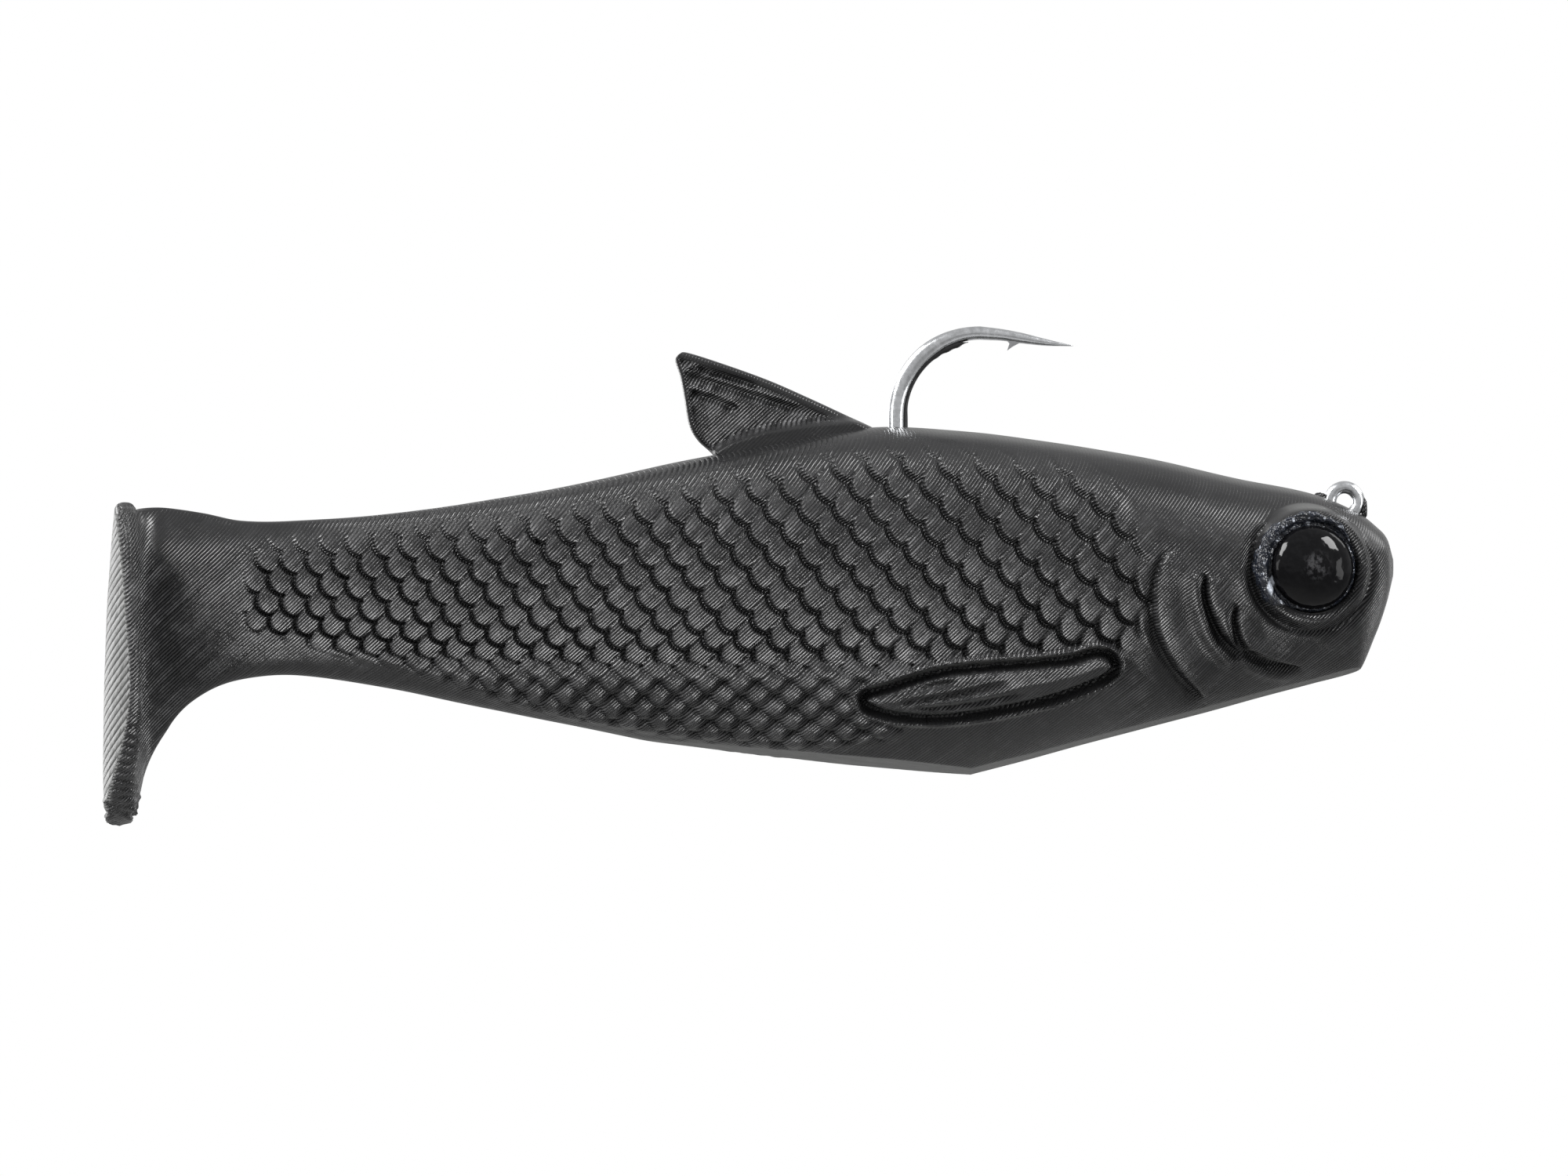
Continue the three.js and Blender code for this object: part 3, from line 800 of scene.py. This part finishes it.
def soft_plastic():
    """Satin black plastisol with the rounded ridges of a layer-printed master.

    The ridges' crests are painted paler, unevenly from ridge to ridge, as painted glints. The
    paddle's rear face and the underside are painted paler as painted light and a painted reflection,
    and the back's seam is paler.
    """
    m = Nodes(bpy.data.materials.new("soft_black_plastic"))
    fleck = m.noise(420, 4.0, 0.6)
    cloud = m.noise(60, 2.0)
    tone = m.ramp(cloud, 0.3, 0.7)
    plastic_colour = m.mix_colour(tone, DARK_PLASTIC, PALER_PLASTIC)
    seam_and_painted_light = m.attribute("seam_and_painted_light")
    layers = m.math("DIVIDE", m.attribute("layer_mm"), LAYER)
    phase = m.math("FRACT", layers)
    crest = m.math("POWER", m.math("SINE", m.times(phase, math.pi)), 2.0)
    # Painted glints: the crests are painted paler, by a random amount for each ridge and broken along
    # it.
    painted_glint = m.times(m.row_values(layers), m.ramp(m.noise(350, 3.0, 0.65), 0.4, 0.6, 0.15, 1.0))
    painted_glint = m.times(m.times(painted_glint, crest), m.attribute("painted_glint"))
    plastic_colour = m.mix_colour(painted_glint, plastic_colour, GLINT_GREY)
    # The painted light and painted reflection, and the paler seam, are mixed in as a paler grey that
    # is also rougher.
    m.set("Base Color", m.mix_colour(seam_and_painted_light, plastic_colour, SEAM_AND_LIT_GREY))
    satin = m.ramp(fleck, 0.25, 0.75, 0.2, 0.32)
    m.set("Roughness", m.math("ADD", satin, m.times(seam_and_painted_light, 0.2)))
    m.set("Specular IOR Level", 0.36)
    bead = m.math("POWER", m.math("SINE", m.times(phase, math.pi)), 0.6)
    uneven = m.ramp(m.noise(600, 3.0, 0.65), 0.3, 0.7, 0.6, 1.1)
    height = m.times(m.times(bead, m.attribute("ridged")), uneven)
    ridges = m.bump(height, RIDGE_HEIGHT * MM, 1.0)
    m.set("Normal", m.bump(m.noise(2600, 2.0, 0.6), 0.00002, 0.6, below=ridges))
    return m.owner


def plated_wire():
    """Bright plated hook wire with a faint drawn grain."""
    m = Nodes(bpy.data.materials.new("plated_hook_wire"))
    m.set("Metallic", 1.0)
    spots = m.noise(1500, 4.0, 0.65)
    spotted = m.ramp(spots, 0.3, 0.7)
    m.set("Base Color", m.mix_colour(spotted, (0.5, 0.51, 0.52, 1), (0.66, 0.67, 0.69, 1)))
    m.set("Roughness", m.ramp(spots, 0.3, 0.7, 0.16, 0.3))
    m.set("Normal", m.bump(m.noise(3000, 2.0), 0.00001, 0.5))
    return m.owner


def eye_gloss():
    """Black domed eye under clear resin, with paler, rougher specks in a patch at its middle."""
    m = Nodes(bpy.data.materials.new("eye_black_gloss"))
    grey_specks = m.ramp(m.noise(1300, 5.0, 0.7), 0.47, 0.6)
    marks = m.times(grey_specks, m.attribute("middle_patch"))
    m.set("Base Color", m.mix_colour(marks, (0.002, 0.002, 0.0024, 1), (0.035, 0.035, 0.037, 1)))
    m.set("Roughness", m.ramp(marks, 0.0, 1.0, 0.07, 0.35))
    m.set("Specular IOR Level", 0.15)
    m.set("Normal", m.bump(m.noise(300, 2.5), 0.0004, 0.6))
    return m.owner


def wet_glue():
    """Clear glue, cured wet-looking over the black plastic, with sparse pale specks painted in as
    glints.
    """
    m = Nodes(bpy.data.materials.new("clear_glue"))
    lumps = m.noise(1100, 3.0, 0.6)
    lumpy = m.ramp(lumps, 0.35, 0.7)
    wet = m.mix_colour(lumpy, (0.006, 0.007, 0.009, 1), (0.016, 0.019, 0.028, 1))
    # Painted glints: sparse pale specks in the glue's colour.
    glint_specks = m.ramp(m.noise(1600, 2.0), 0.62, 0.68)
    wet = m.mix_colour(glint_specks, wet, (0.3, 0.32, 0.36, 1))
    m.set("Base Color", m.mix_colour(m.attribute("pale"), wet, (0.4, 0.43, 0.48, 1)))
    m.set("Roughness", m.ramp(lumps, 0.3, 0.7, 0.05, 0.16))
    m.set("Specular IOR Level", 0.4)
    m.set("Normal", m.bump(lumps, 0.0006, 1.0))
    return m.owner


def dull_surface(name, colour, roughness):
    """A dull, faintly spotted surface: the cast ballast, the eyes' backing film, the floor."""
    m = Nodes(bpy.data.materials.new(name))
    spots = m.noise(500, 3.0)
    darker = tuple(0.7 * c for c in colour)
    m.set("Base Color", m.mix_colour(spots, (*darker, 1), (*colour, 1)))
    m.set("Roughness", m.ramp(spots, 0.3, 0.7, roughness - 0.08, roughness + 0.08))
    return m.owner


PLASTIC = soft_plastic()
WIRE = plated_wire()
EYE = eye_gloss()
GLUE = wet_glue()

# ---- pieces ----

skin = whole_skin()
section_x = skin[0]
last_loop = len(skin[1]) - 1


def loop_at(x):
    """The grid's loop that is nearest to x."""
    return int(np.argmin(np.abs(section_x - x)))


# The skin is divided behind the gill cover, in mid trunk, ahead of the first bend and between
# the joints, where both sides follow the same body.
BODY_BEND = 8.2  # how far ahead of the first joint the trunk's skin ends
TAIL_BEND = 7.4
HEAD_END = loop_at(-24.5)
TRUNK_MIDDLE = loop_at(-52.0)
TRUNK_END = loop_at(REAR_BEND_X + BODY_BEND + 0.1)
REAR_END = loop_at((REAR_BEND_X + STALK_BEND_X) / 2)
STALK_END = loop_at((STALK_BEND_X + TAIL_KICK_X) / 2)


def build_trunk():
    """The skin ahead of the first bend, which rides on one body."""
    ends = [0, HEAD_END, TRUNK_MIDDLE, TRUNK_END]
    names = ["head_skin", "trunk_fore_skin", "trunk_aft_skin"]
    for name, first, last in zip(names, ends, ends[1:]):
        piece = skin_piece(name, skin, first, last)
        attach(piece, "front")
        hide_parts("body_front")


def build_bends():
    """The skin behind the trunk, in three lengths: to midway between the first two joints, to midway
    between the last two, and on to the paddle.
    """
    names = ["rear_skin", "stalk_skin", "tail_skin"]
    loops = [TRUNK_END, REAR_END, STALK_END, last_loop]
    nodes = ["body_front", "body_rear", "tail_stalk", "tail_paddle"]
    bends = [(REAR_BEND_X, BODY_BEND), (STALK_BEND_X, BODY_BEND), (TAIL_KICK_X, TAIL_BEND)]
    for i, (x, reach) in enumerate(bends):
        piece = skin_piece(names[i], skin, loops[i], loops[i + 1])
        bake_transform(piece)
        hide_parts(nodes[i], nodes[i + 1])


build_trunk()
build_bends()


def closed_rings(rings):
    """Points and faces of a tube whose last ring joins its first, as round an eye."""
    rows, columns = rings.shape[:2]
    count = rows * columns
    faces = [[i % count for i in face] for face in loop_faces(rows + 1, columns)]
    return rings.reshape(-1, 3), faces


def facing_out(points, faces):
    """The faces, turned round if they enclose a negative volume."""
    volume = 0.0
    for first, *others in faces:
        for second, third in zip(others, others[1:]):
            volume += np.dot(points[first], np.cross(points[second], points[third]))
    return faces if volume > 0 else [face[::-1] for face in faces]


def solid_piece(name, points, faces, material, body="front", smooth_faces=True):
    obj = new_object(name, points, facing_out(points, faces), material, smooth_faces)
    if body:
        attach(obj, body)
    return obj


# The hook's wire: where its middle runs (x, z), and half its width in the bend's plane.
HOOK_BEND_X = -45.2
HOOK_BEND_RADIUS = 10.4
HOOK_TOP_Z = 21.0
SHANK_Z = -3.4
WIRE_RADIUS = 1.05
WIRE_SIDES = 28
HOOK_TIP = [(-42.4, 20.75), (-40.0, 20.35), (-37.0, 19.82), (-33.65, 19.4)]
HOOK_TIP_WIDTHS = [0.72, 0.66, 0.42, 0.04]
FORGED_HALF = 0.92  # half thickness across the bend's plane, where the wire is forged flat
FORGED_WIDE_POWER = 0.9  # below 1 the forged wire's section is squarer than an ellipse
FORGED_DEEP_POWER = 0.8
BARB = [(-40.1, 19.9), (-41.9, 20.1), (-41.55, 19.7), (-41.85, 18.8), (-41.2, 19.3)]
BARB_HALF = [0.42, 0.42, 0.36, 0.07, 0.34]
RING_RADIUS = 1.75
RING_WIRE = 0.78
FILM_LOWEST = 5.0  # the film of plastic on the wire runs from here
FILM_FOREMOST = -46.8  # to here


def hook_path():
    """Points along the wire with its half width and half thickness there."""
    rows = [(-1.24, -1.24, 0.8, 0.8), (-2.6, -2.6, 0.95, 0.95)]
    for x in np.linspace(-4.7, HOOK_BEND_X, 24):
        rows.append((x, SHANK_Z, WIRE_RADIUS, WIRE_RADIUS))
    for angle in np.linspace(0, math.pi / 2, 24)[1:]:
        x = HOOK_BEND_X - HOOK_BEND_RADIUS * math.sin(angle)
        z = SHANK_Z + HOOK_BEND_RADIUS * (1 - math.cos(angle))
        rows.append((x, z, WIRE_RADIUS, WIRE_RADIUS))
    for angle in np.linspace(0, math.pi / 2, 60):
        x = HOOK_BEND_X - HOOK_BEND_RADIUS * math.cos(angle)
        z = HOOK_TOP_Z - HOOK_BEND_RADIUS * (1 - math.sin(angle))
        slim = 0.22 * step(0.5 * math.pi / 2, math.pi / 2, angle)
        flat = step(0.0, 0.5, angle)
        rows.append((x, z, WIRE_RADIUS - slim, WIRE_RADIUS + (FORGED_HALF - WIRE_RADIUS) * flat))
    last = rows[-1]
    tip = curve([(last[0], last[1])] + HOOK_TIP, 40)[1:]
    widths = np.interp(tip[:, 0], [last[0]] + [p[0] for p in HOOK_TIP], [last[2]] + HOOK_TIP_WIDTHS)
    for (x, z), width in zip(tip, widths):
        rows.append((x, z, width, min(FORGED_HALF, 1.15 * width)))
    return np.array(rows)


def along_wire(rows, offset=0.0, sides=WIRE_SIDES):
    """Rings of a wire: a rounded oblong section, carried along the rows."""
    tangent = np.gradient(rows[:, :2], axis=0)
    tangent /= np.linalg.norm(tangent, axis=1)[:, None]
    rings = []
    angle = full_turn(sides)
    for (x, z, width, thick), (tx, tz) in zip(rows, tangent):
        square = step(0.02, 0.2, abs(width - thick))
        wide_power = 1 + (FORGED_WIDE_POWER - 1) * square
        deep_power = 1 + (FORGED_DEEP_POWER - 1) * square
        across = width * np.sign(np.cos(angle)) * np.abs(np.cos(angle)) ** wide_power + offset
        deep = thick * np.sign(np.sin(angle)) * np.abs(np.sin(angle)) ** deep_power
        rings.append(np.stack([x - tz * across, deep, z + tx * across], axis=1))
    return np.array(rings)


def ring_shape():
    """Points and faces of the ring of the hook's eye, the line tie."""
    section_angle = full_turn(WIRE_SIDES)
    radius = RING_RADIUS + RING_WIRE * np.cos(section_angle)
    deep = RING_WIRE * np.sin(section_angle)
    rings = []
    for angle in full_turn(96):
        rings.append(np.stack([radius * math.cos(angle), deep, radius * math.sin(angle)], axis=1))
    return closed_rings(np.array(rings))


def barb_shape():
    """Points and faces of the barb, a sliver cut up from the wire."""
    outline = np.array(BARB)
    right = np.stack([outline[:, 0], -np.array(BARB_HALF), outline[:, 1]], axis=1)
    left = right * [1, -1, 1]
    count = len(BARB)
    faces = [list(range(count)), list(range(2 * count - 1, count - 1, -1))]
    faces += [[i, i + count, (i + 1) % count + count, (i + 1) % count] for i in range(count)]
    return np.concatenate([right, left]), faces


def build_hook(rows):
    shapes = {
        "hook_wire": closed_tube(along_wire(rows)),
        "hook_ring": ring_shape(),
        "hook_barb": barb_shape(),
    }
    for name, (points, faces) in shapes.items():
        smooth_faces = name != "hook_barb"
        piece = solid_piece(name, points, faces, WIRE, smooth_faces=smooth_faces)
        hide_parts("hook")


def build_hook_film(rows):
    """Soft plastic that crept up the inside of the bend in the mould."""
    film = rows[(rows[:, 1] > FILM_LOWEST) & (rows[:, 0] < FILM_FOREMOST)]
    part = np.linspace(0, 1, len(film))
    lumps = 0.5 + 0.5 * np.sin(part * 41) * np.sin(part * 17 + 1)
    film[:, 2] = 0.27 + 0.16 * step(0.62, 0.7, part) * lumps + 0.12 * step(0.2, 0.0, part)
    film[:, 2] *= step(1.0, 0.9, part) + 0.02
    film[:, 3] = 0.5 + 0.1 * lumps
    points, faces = closed_tube(along_wire(film, offset=-WIRE_RADIUS * 0.98, sides=16))
    solid_piece("hook_flash", points, faces, PLASTIC)


hook_rows = hook_path()
build_hook(hook_rows)
build_hook_film(hook_rows)

FLASH_SIDES = 48
# Lumps of plastic that leaked round the hook's eye: middle and half sizes.
FLASH = [
    ((-3.1, 0.0, 0.45), (0.95, 0.9, 0.6)),
    ((-2.1, 0.0, -0.6), (0.7, 0.7, 0.9)),
    ((-0.75, 0.1, -0.85), (0.75, 0.45, 0.4)),
    ((2.45, 0.0, -0.9), (0.4, 0.6, 1.3)),
]


def build_flash():
    around = full_turn(FLASH_SIDES)
    for number, (middle, size) in enumerate(FLASH, 1):
        rings = []
        for tilt in np.linspace(0, math.pi, 26)[1:-1]:
            x = math.sin(tilt) * np.cos(around)
            z = math.sin(tilt) * np.sin(around)
            y = np.full(FLASH_SIDES, math.cos(tilt))
            lump = 1 + 0.22 * ripple(5 * x + number, 5 * z + 3 * y, 1.0, number)
            rings.append(np.stack([x, y, z], axis=1) * lump[:, None] * size + middle)
        points, faces = closed_tube(np.array(rings))
        lump = solid_piece(f"line_tie_flash_{number}", points, faces, PLASTIC)
        plastic_values(lump, points, np.full(len(points), 0.3), np.zeros(len(points)))


build_flash()


# The squeezed-out glue: how far out it reaches, as degrees round the eye and radius.
GLUE_EDGE = np.array([
    [0, 5.55], [25, 5.7], [45, 6.1], [62, 6.5], [80, 6.75], [100, 6.9], [125, 6.95],
    [150, 7.3], [180, 7.45], [200, 7.4], [222, 7.1], [236, 5.9], [250, 5.55], [300, 5.5],
    [360, 5.55],
])
GLUE_INNER = DOME_RADIUS - 0.02
GLUE_SEAT = 5.62  # inside this the glue bridges the eye's sunken seat
GLUE_POINTS = 16
FLAKE_AT = 203  # the torn flake's place round the eye, in degrees


def on_eye(side, forward, up, out):
    """Points given forward, up and out from the middle of an eye."""
    point, *axes = eye_frame(side)
    for amount, axis in zip((forward, up, out), axes):
        point = point + np.multiply.outer(amount, axis)
    return point


def glue_edge(degrees, side):
    """How far out the glue reaches at an angle round the eye, with a wobble where it is wide."""
    edge = np.interp(degrees % 360, GLUE_EDGE[:, 0], GLUE_EDGE[:, 1])
    angle = np.radians(degrees)
    wobble = 0.12 * np.sin(angle * 9 + side) + 0.08 * np.sin(angle * 23 + 2 * side)
    return edge + wobble * np.clip((edge - 5.5) / 0.6, 0.15, 1)


def glue_section(angle, side):
    """One section of the glue, out over its top and back beneath, and where the flake is."""
    degrees = math.degrees(angle)
    part = np.linspace(0, 1, GLUE_POINTS)
    r = GLUE_INNER + (float(glue_edge(degrees, side)) - GLUE_INNER) * part
    lump = 0.5 + 0.5 * ripple(r * 9 + angle * 12, r * 5 - angle * 21, 0.55, side)
    film = 0.3 * np.sqrt(np.clip(1 - part**2, 0, 1)) * (0.6 + 0.8 * lump)
    meniscus = 0.2 * np.exp(-((r - GLUE_INNER) / 0.3))
    seat = orbit_profile(np.full(GLUE_POINTS, GLUE_SEAT))
    lift = np.maximum(orbit_profile(r), seat) + film + meniscus
    under = orbit_profile(np.maximum(r[::-1], GLUE_SEAT)) - 0.35
    radius = np.concatenate([r, r[::-1]])
    height = np.concatenate([lift, under])
    flake = step(7, 4, abs(degrees - FLAKE_AT - 9 * (radius - 5.8))) * step(6.7, 6.3, radius)
    flake[GLUE_POINTS:] = 0
    return on_eye(side, radius * math.cos(angle), radius * math.sin(angle), height), flake


def build_dome(side, name):
    """The eye's clear dome, with a paler, rougher patch on top."""
    side_top = DOME_BASE + DOME_SIDE
    profile = [(DOME_RADIUS, DOME_BASE + part * DOME_SIDE) for part in (0, 0.5, 1)]
    rise = DOME_TOP - DOME_BASE - DOME_SIDE
    for angle in np.linspace(0, math.pi / 2, 30)[1:-1]:
        profile.append((DOME_RADIUS * math.cos(angle), side_top + rise * math.sin(angle)))
    around = full_turn(DOME_SIDES)
    rings = []
    for radius, height in profile:
        flat = np.full(DOME_SIDES, height)
        rings.append(on_eye(side, radius * np.cos(around), radius * np.sin(around), flat))
    base = on_eye(side, 0.0, 0.0, DOME_BASE)
    top = on_eye(side, 0.0, 0.0, DOME_TOP)
    points, faces = closed_tube(np.array(rings), front_point=base, rear_point=top)
    dome = solid_piece(f"eye_{name}_dome", points, faces, EYE)
    from_middle = np.array([radius for radius, _ in profile] + [DOME_RADIUS, 0.0])
    middle_patch = 0.05 + 0.95 * step(2.2, 0.8, from_middle)
    point_values(dome, "middle_patch", np.concatenate([np.repeat(middle_patch[:-2], DOME_SIDES), middle_patch[-2:]]))
    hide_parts(f"eye_{name}")


def build_glue(side, name):
    """The glue round an eye. Only the right one has the torn flake."""
    sections = [glue_section(angle, side) for angle in full_turn(360)]
    points, faces = closed_rings(np.array([ring for ring, _ in sections]))
    glue = solid_piece(f"eye_{name}_glue", points, faces, GLUE)
    pale = np.concatenate([flake for _, flake in sections]) * (name == "right")
    point_values(glue, "pale", pale)
    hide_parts(f"eye_glue_{name}")


for side, name in ((-1, "right"), (1, "left")):
    build_dome(side, name)
    build_glue(side, name)

# The dorsal fin, as its rear and front edges from root to tip (x, z).
FIN_REAR = [
    (-76.6, 3.4), (-78.4, 5.8), (-80.3, 7.6), (-81.4, 9.6),
    (-82.0, 13.0), (-82.5, 15.6), (-83.1, 17.5), (-82.9, 18.0),
]
FIN_FRONT = [
    (-54.8, 7.2), (-58.6, 9.2), (-62.2, 10.9), (-66.5, 12.9),
    (-71.5, 15.1), (-77.0, 17.1), (-81.6, 18.55), (-82.6, 18.35),
]
# Where its flat side begins.
FIN_ROOT = np.array([[-78.4, 6.0], [-76.0, 7.4], [-72.0, 8.7], [-66.0, 9.6], [-58.0, 10.2]])
FIN_FRONT_SLOPE = math.atan2(9.3, 23.0)
FIN_HALF = 1.0
FIN_RIM = 1.2
FIN_ROWS = 130
FIN_COLUMNS = 110
FIN_CREASES = [
    [(-80.4, 16.3), (-76.1, 15.3), (-72.3, 14.0)],
    [(-81.6, 15.6), (-76.1, 13.9), (-70.8, 12.2), (-65.5, 10.5)],
    [(-81.3, 13.4), (-78.0, 12.4), (-75.0, 11.1)],
]


def fin_thickness(x, z, from_front, from_rear):
    """Half thickness: a rim round a sunken panel that is creased by its rays."""
    edge = np.minimum(from_front, from_rear * 1.6)
    rounded = np.sqrt(np.clip(1 - (1 - np.clip(edge / 0.75, 0, 1)) ** 2, 0, 1))
    half = FIN_HALF * rounded
    above = z - np.interp(x, FIN_ROOT[:, 0], FIN_ROOT[:, 1])
    sunk = step(FIN_RIM - 0.25, FIN_RIM + 0.25, from_front) * step(0.5, 0.8, from_rear)
    sunk *= step(0.2, 0.9, above)
    half = half - 0.4 * sunk
    for crease in FIN_CREASES:
        away, along = from_curve(curve(crease, 90), x, z)
        half -= 0.48 * valley(away, 0.5) * step(1.0, 0.8, along) * step(-0.01, 0.06, along)
        half += 0.28 * valley(away - 0.85, 0.4) * step(1.0, 0.8, along) * sunk
    fillet = 1.5 * step(1.3, -0.6, above) ** 2
    panel = step(FIN_RIM - 0.15, FIN_RIM + 0.2, from_front) * step(0.3, 0.6, from_rear)
    panel *= step(-0.3, 0.4, above)
    return np.maximum(half, 0.05 * rounded) + fillet * rounded, panel


def build_fin():
    rear, front = curve(FIN_REAR, FIN_ROWS), curve(FIN_FRONT, FIN_ROWS)
    part = 0.5 - 0.5 * np.cos(np.linspace(0, math.pi, FIN_COLUMNS))
    rings = []
    panels = []
    for (rx, rz), (fx, fz) in zip(rear, front):
        x = rx + (fx - rx) * part
        z = rz + (fz - rz) * part
        chord = math.hypot(fx - rx, fz - rz)
        slant = math.sin(FIN_FRONT_SLOPE + math.atan2(fz - rz, fx - rx))
        half, panel = fin_thickness(x, z, (1 - part) * chord * max(slant, 0.3), part * chord)
        panels.append(np.concatenate([panel, panel[-2:0:-1]]))
        right = np.stack([x, -half, z], axis=1)
        left = np.stack([x, half, z], axis=1)[-2:0:-1]
        rings.append(np.concatenate([right, left]))
    points, faces = closed_tube(np.array(rings))
    fin = solid_piece("dorsal_fin_skin", points, faces, PLASTIC, body=None)
    panels = np.concatenate(panels + [[0, 0]])
    # The fin's panel gets the painted glints on its ridges' crests.
    plastic_values(fin, points, 0.12 + panels, panels)
    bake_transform(fin)
    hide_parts("dorsal_fin")


build_fin()

BALLAST = dull_surface("cast_ballast", (0.2, 0.2, 0.21), 0.55)
BACKING = dull_surface("eye_backing_film", (0.01, 0.01, 0.01), 0.6)
for node, material in (
    ("ballast", BALLAST),
    ("eye_backing_right", BACKING),
    ("eye_backing_left", BACKING),
):
    mesh = frame["nodes"][node].data
    mesh.materials.clear()
    mesh.materials.append(material)

# ---- camera, lights and floor ----

VIEW_CENTRE = Vector((-69.57, 0.0, -10.8)) * MM
VIEW_WIDTH = 194.6 * MM
CAMERA_DISTANCE = 2.5
CAMERA_ELEVATION = math.radians(-5)
FLOOR_Z = -900.0
FLOOR_HALF = 60000.0
ROOM_BELOW = 0.03
ROOM_ABOVE = 0.62
BACKDROP_LIGHT = 0.35
# Soft boxes: place from the middle of the fish and size, in metres, and power in watts.
SOFT_BOXES = [
    ("tail_box", (-0.7, -0.36, 0.64), (0.35, 0.45), 14.0),
    ("head_box", (0.7, -0.36, 0.64), (0.35, 0.45), 13.0),
    ("low_tail_box", (-0.92, -0.38, 0.1), (0.3, 0.4), 1.6),
    ("low_head_box", (0.92, -0.38, 0.0), (0.3, 0.4), 1.6),
    ("far_tail_box", (-0.7, 0.36, 0.64), (0.35, 0.45), 2.0),
    ("far_head_box", (0.7, 0.36, 0.64), (0.35, 0.45), 2.0),
    ("back_box", (-0.6, 0.8, 0.12), (0.5, 0.5), 3.0),
]


def aim(obj, target):
    obj.rotation_euler = (target - obj.location).to_track_quat("-Z", "Y").to_euler()


def add_camera():
    data = bpy.data.cameras.new("camera")
    data.sensor_width = 36.0
    data.lens = data.sensor_width * CAMERA_DISTANCE / VIEW_WIDTH
    data.clip_start = 0.05
    camera = add_object("camera", data)
    away = Vector((0, -math.cos(CAMERA_ELEVATION), math.sin(CAMERA_ELEVATION)))
    camera.location = VIEW_CENTRE + away * CAMERA_DISTANCE
    aim(camera, VIEW_CENTRE)
    bpy.context.scene.camera = camera


def add_light(name, place, size, power):
    data = bpy.data.lights.new(name, "AREA")
    data.shape = "RECTANGLE"
    data.size, data.size_y = size
    data.energy = power
    lamp = add_object(name, data)
    lamp.location = VIEW_CENTRE + Vector(place)
    aim(lamp, VIEW_CENTRE)


def add_world():
    """A white backdrop behind the fish; in front, a room that is pale above and dark below."""
    world = bpy.data.worlds.new("studio")
    bpy.context.scene.world = world
    w = Nodes(world, "Background")
    w.set("Color", (1.0, 1.0, 1.0, 1))
    direction = w.node("ShaderNodeTexCoord").outputs["Generated"]
    axes = w.node("ShaderNodeSeparateXYZ")
    w.link(direction, axes.inputs[0])
    room = w.ramp(axes.outputs["Z"], -0.3, 0.08, ROOM_BELOW, ROOM_ABOVE, "SMOOTHSTEP")
    backdrop = w.ramp(axes.outputs["Y"], 0.75, 0.97, 0.0, BACKDROP_LIGHT, "SMOOTHSTEP")
    seen = w.node("ShaderNodeLightPath").outputs["Is Camera Ray"]
    w.set("Strength", w.math("MAXIMUM", w.math("MAXIMUM", room, backdrop), seen))


def add_floor():
    data = dull_surface("studio_floor", (0.68, 0.68, 0.68), 0.7)
    half = FLOOR_HALF
    corners = [(-half, -half), (half, -half), (half, half), (-half, half)]
    floor = new_object("floor", [(x, y, FLOOR_Z) for x, y in corners], [(0, 1, 2, 3)], data)


add_camera()
add_world()
add_floor()
for soft_box in SOFT_BOXES:
    add_light(*soft_box)
bpy.context.scene.view_settings.view_transform = "Standard"
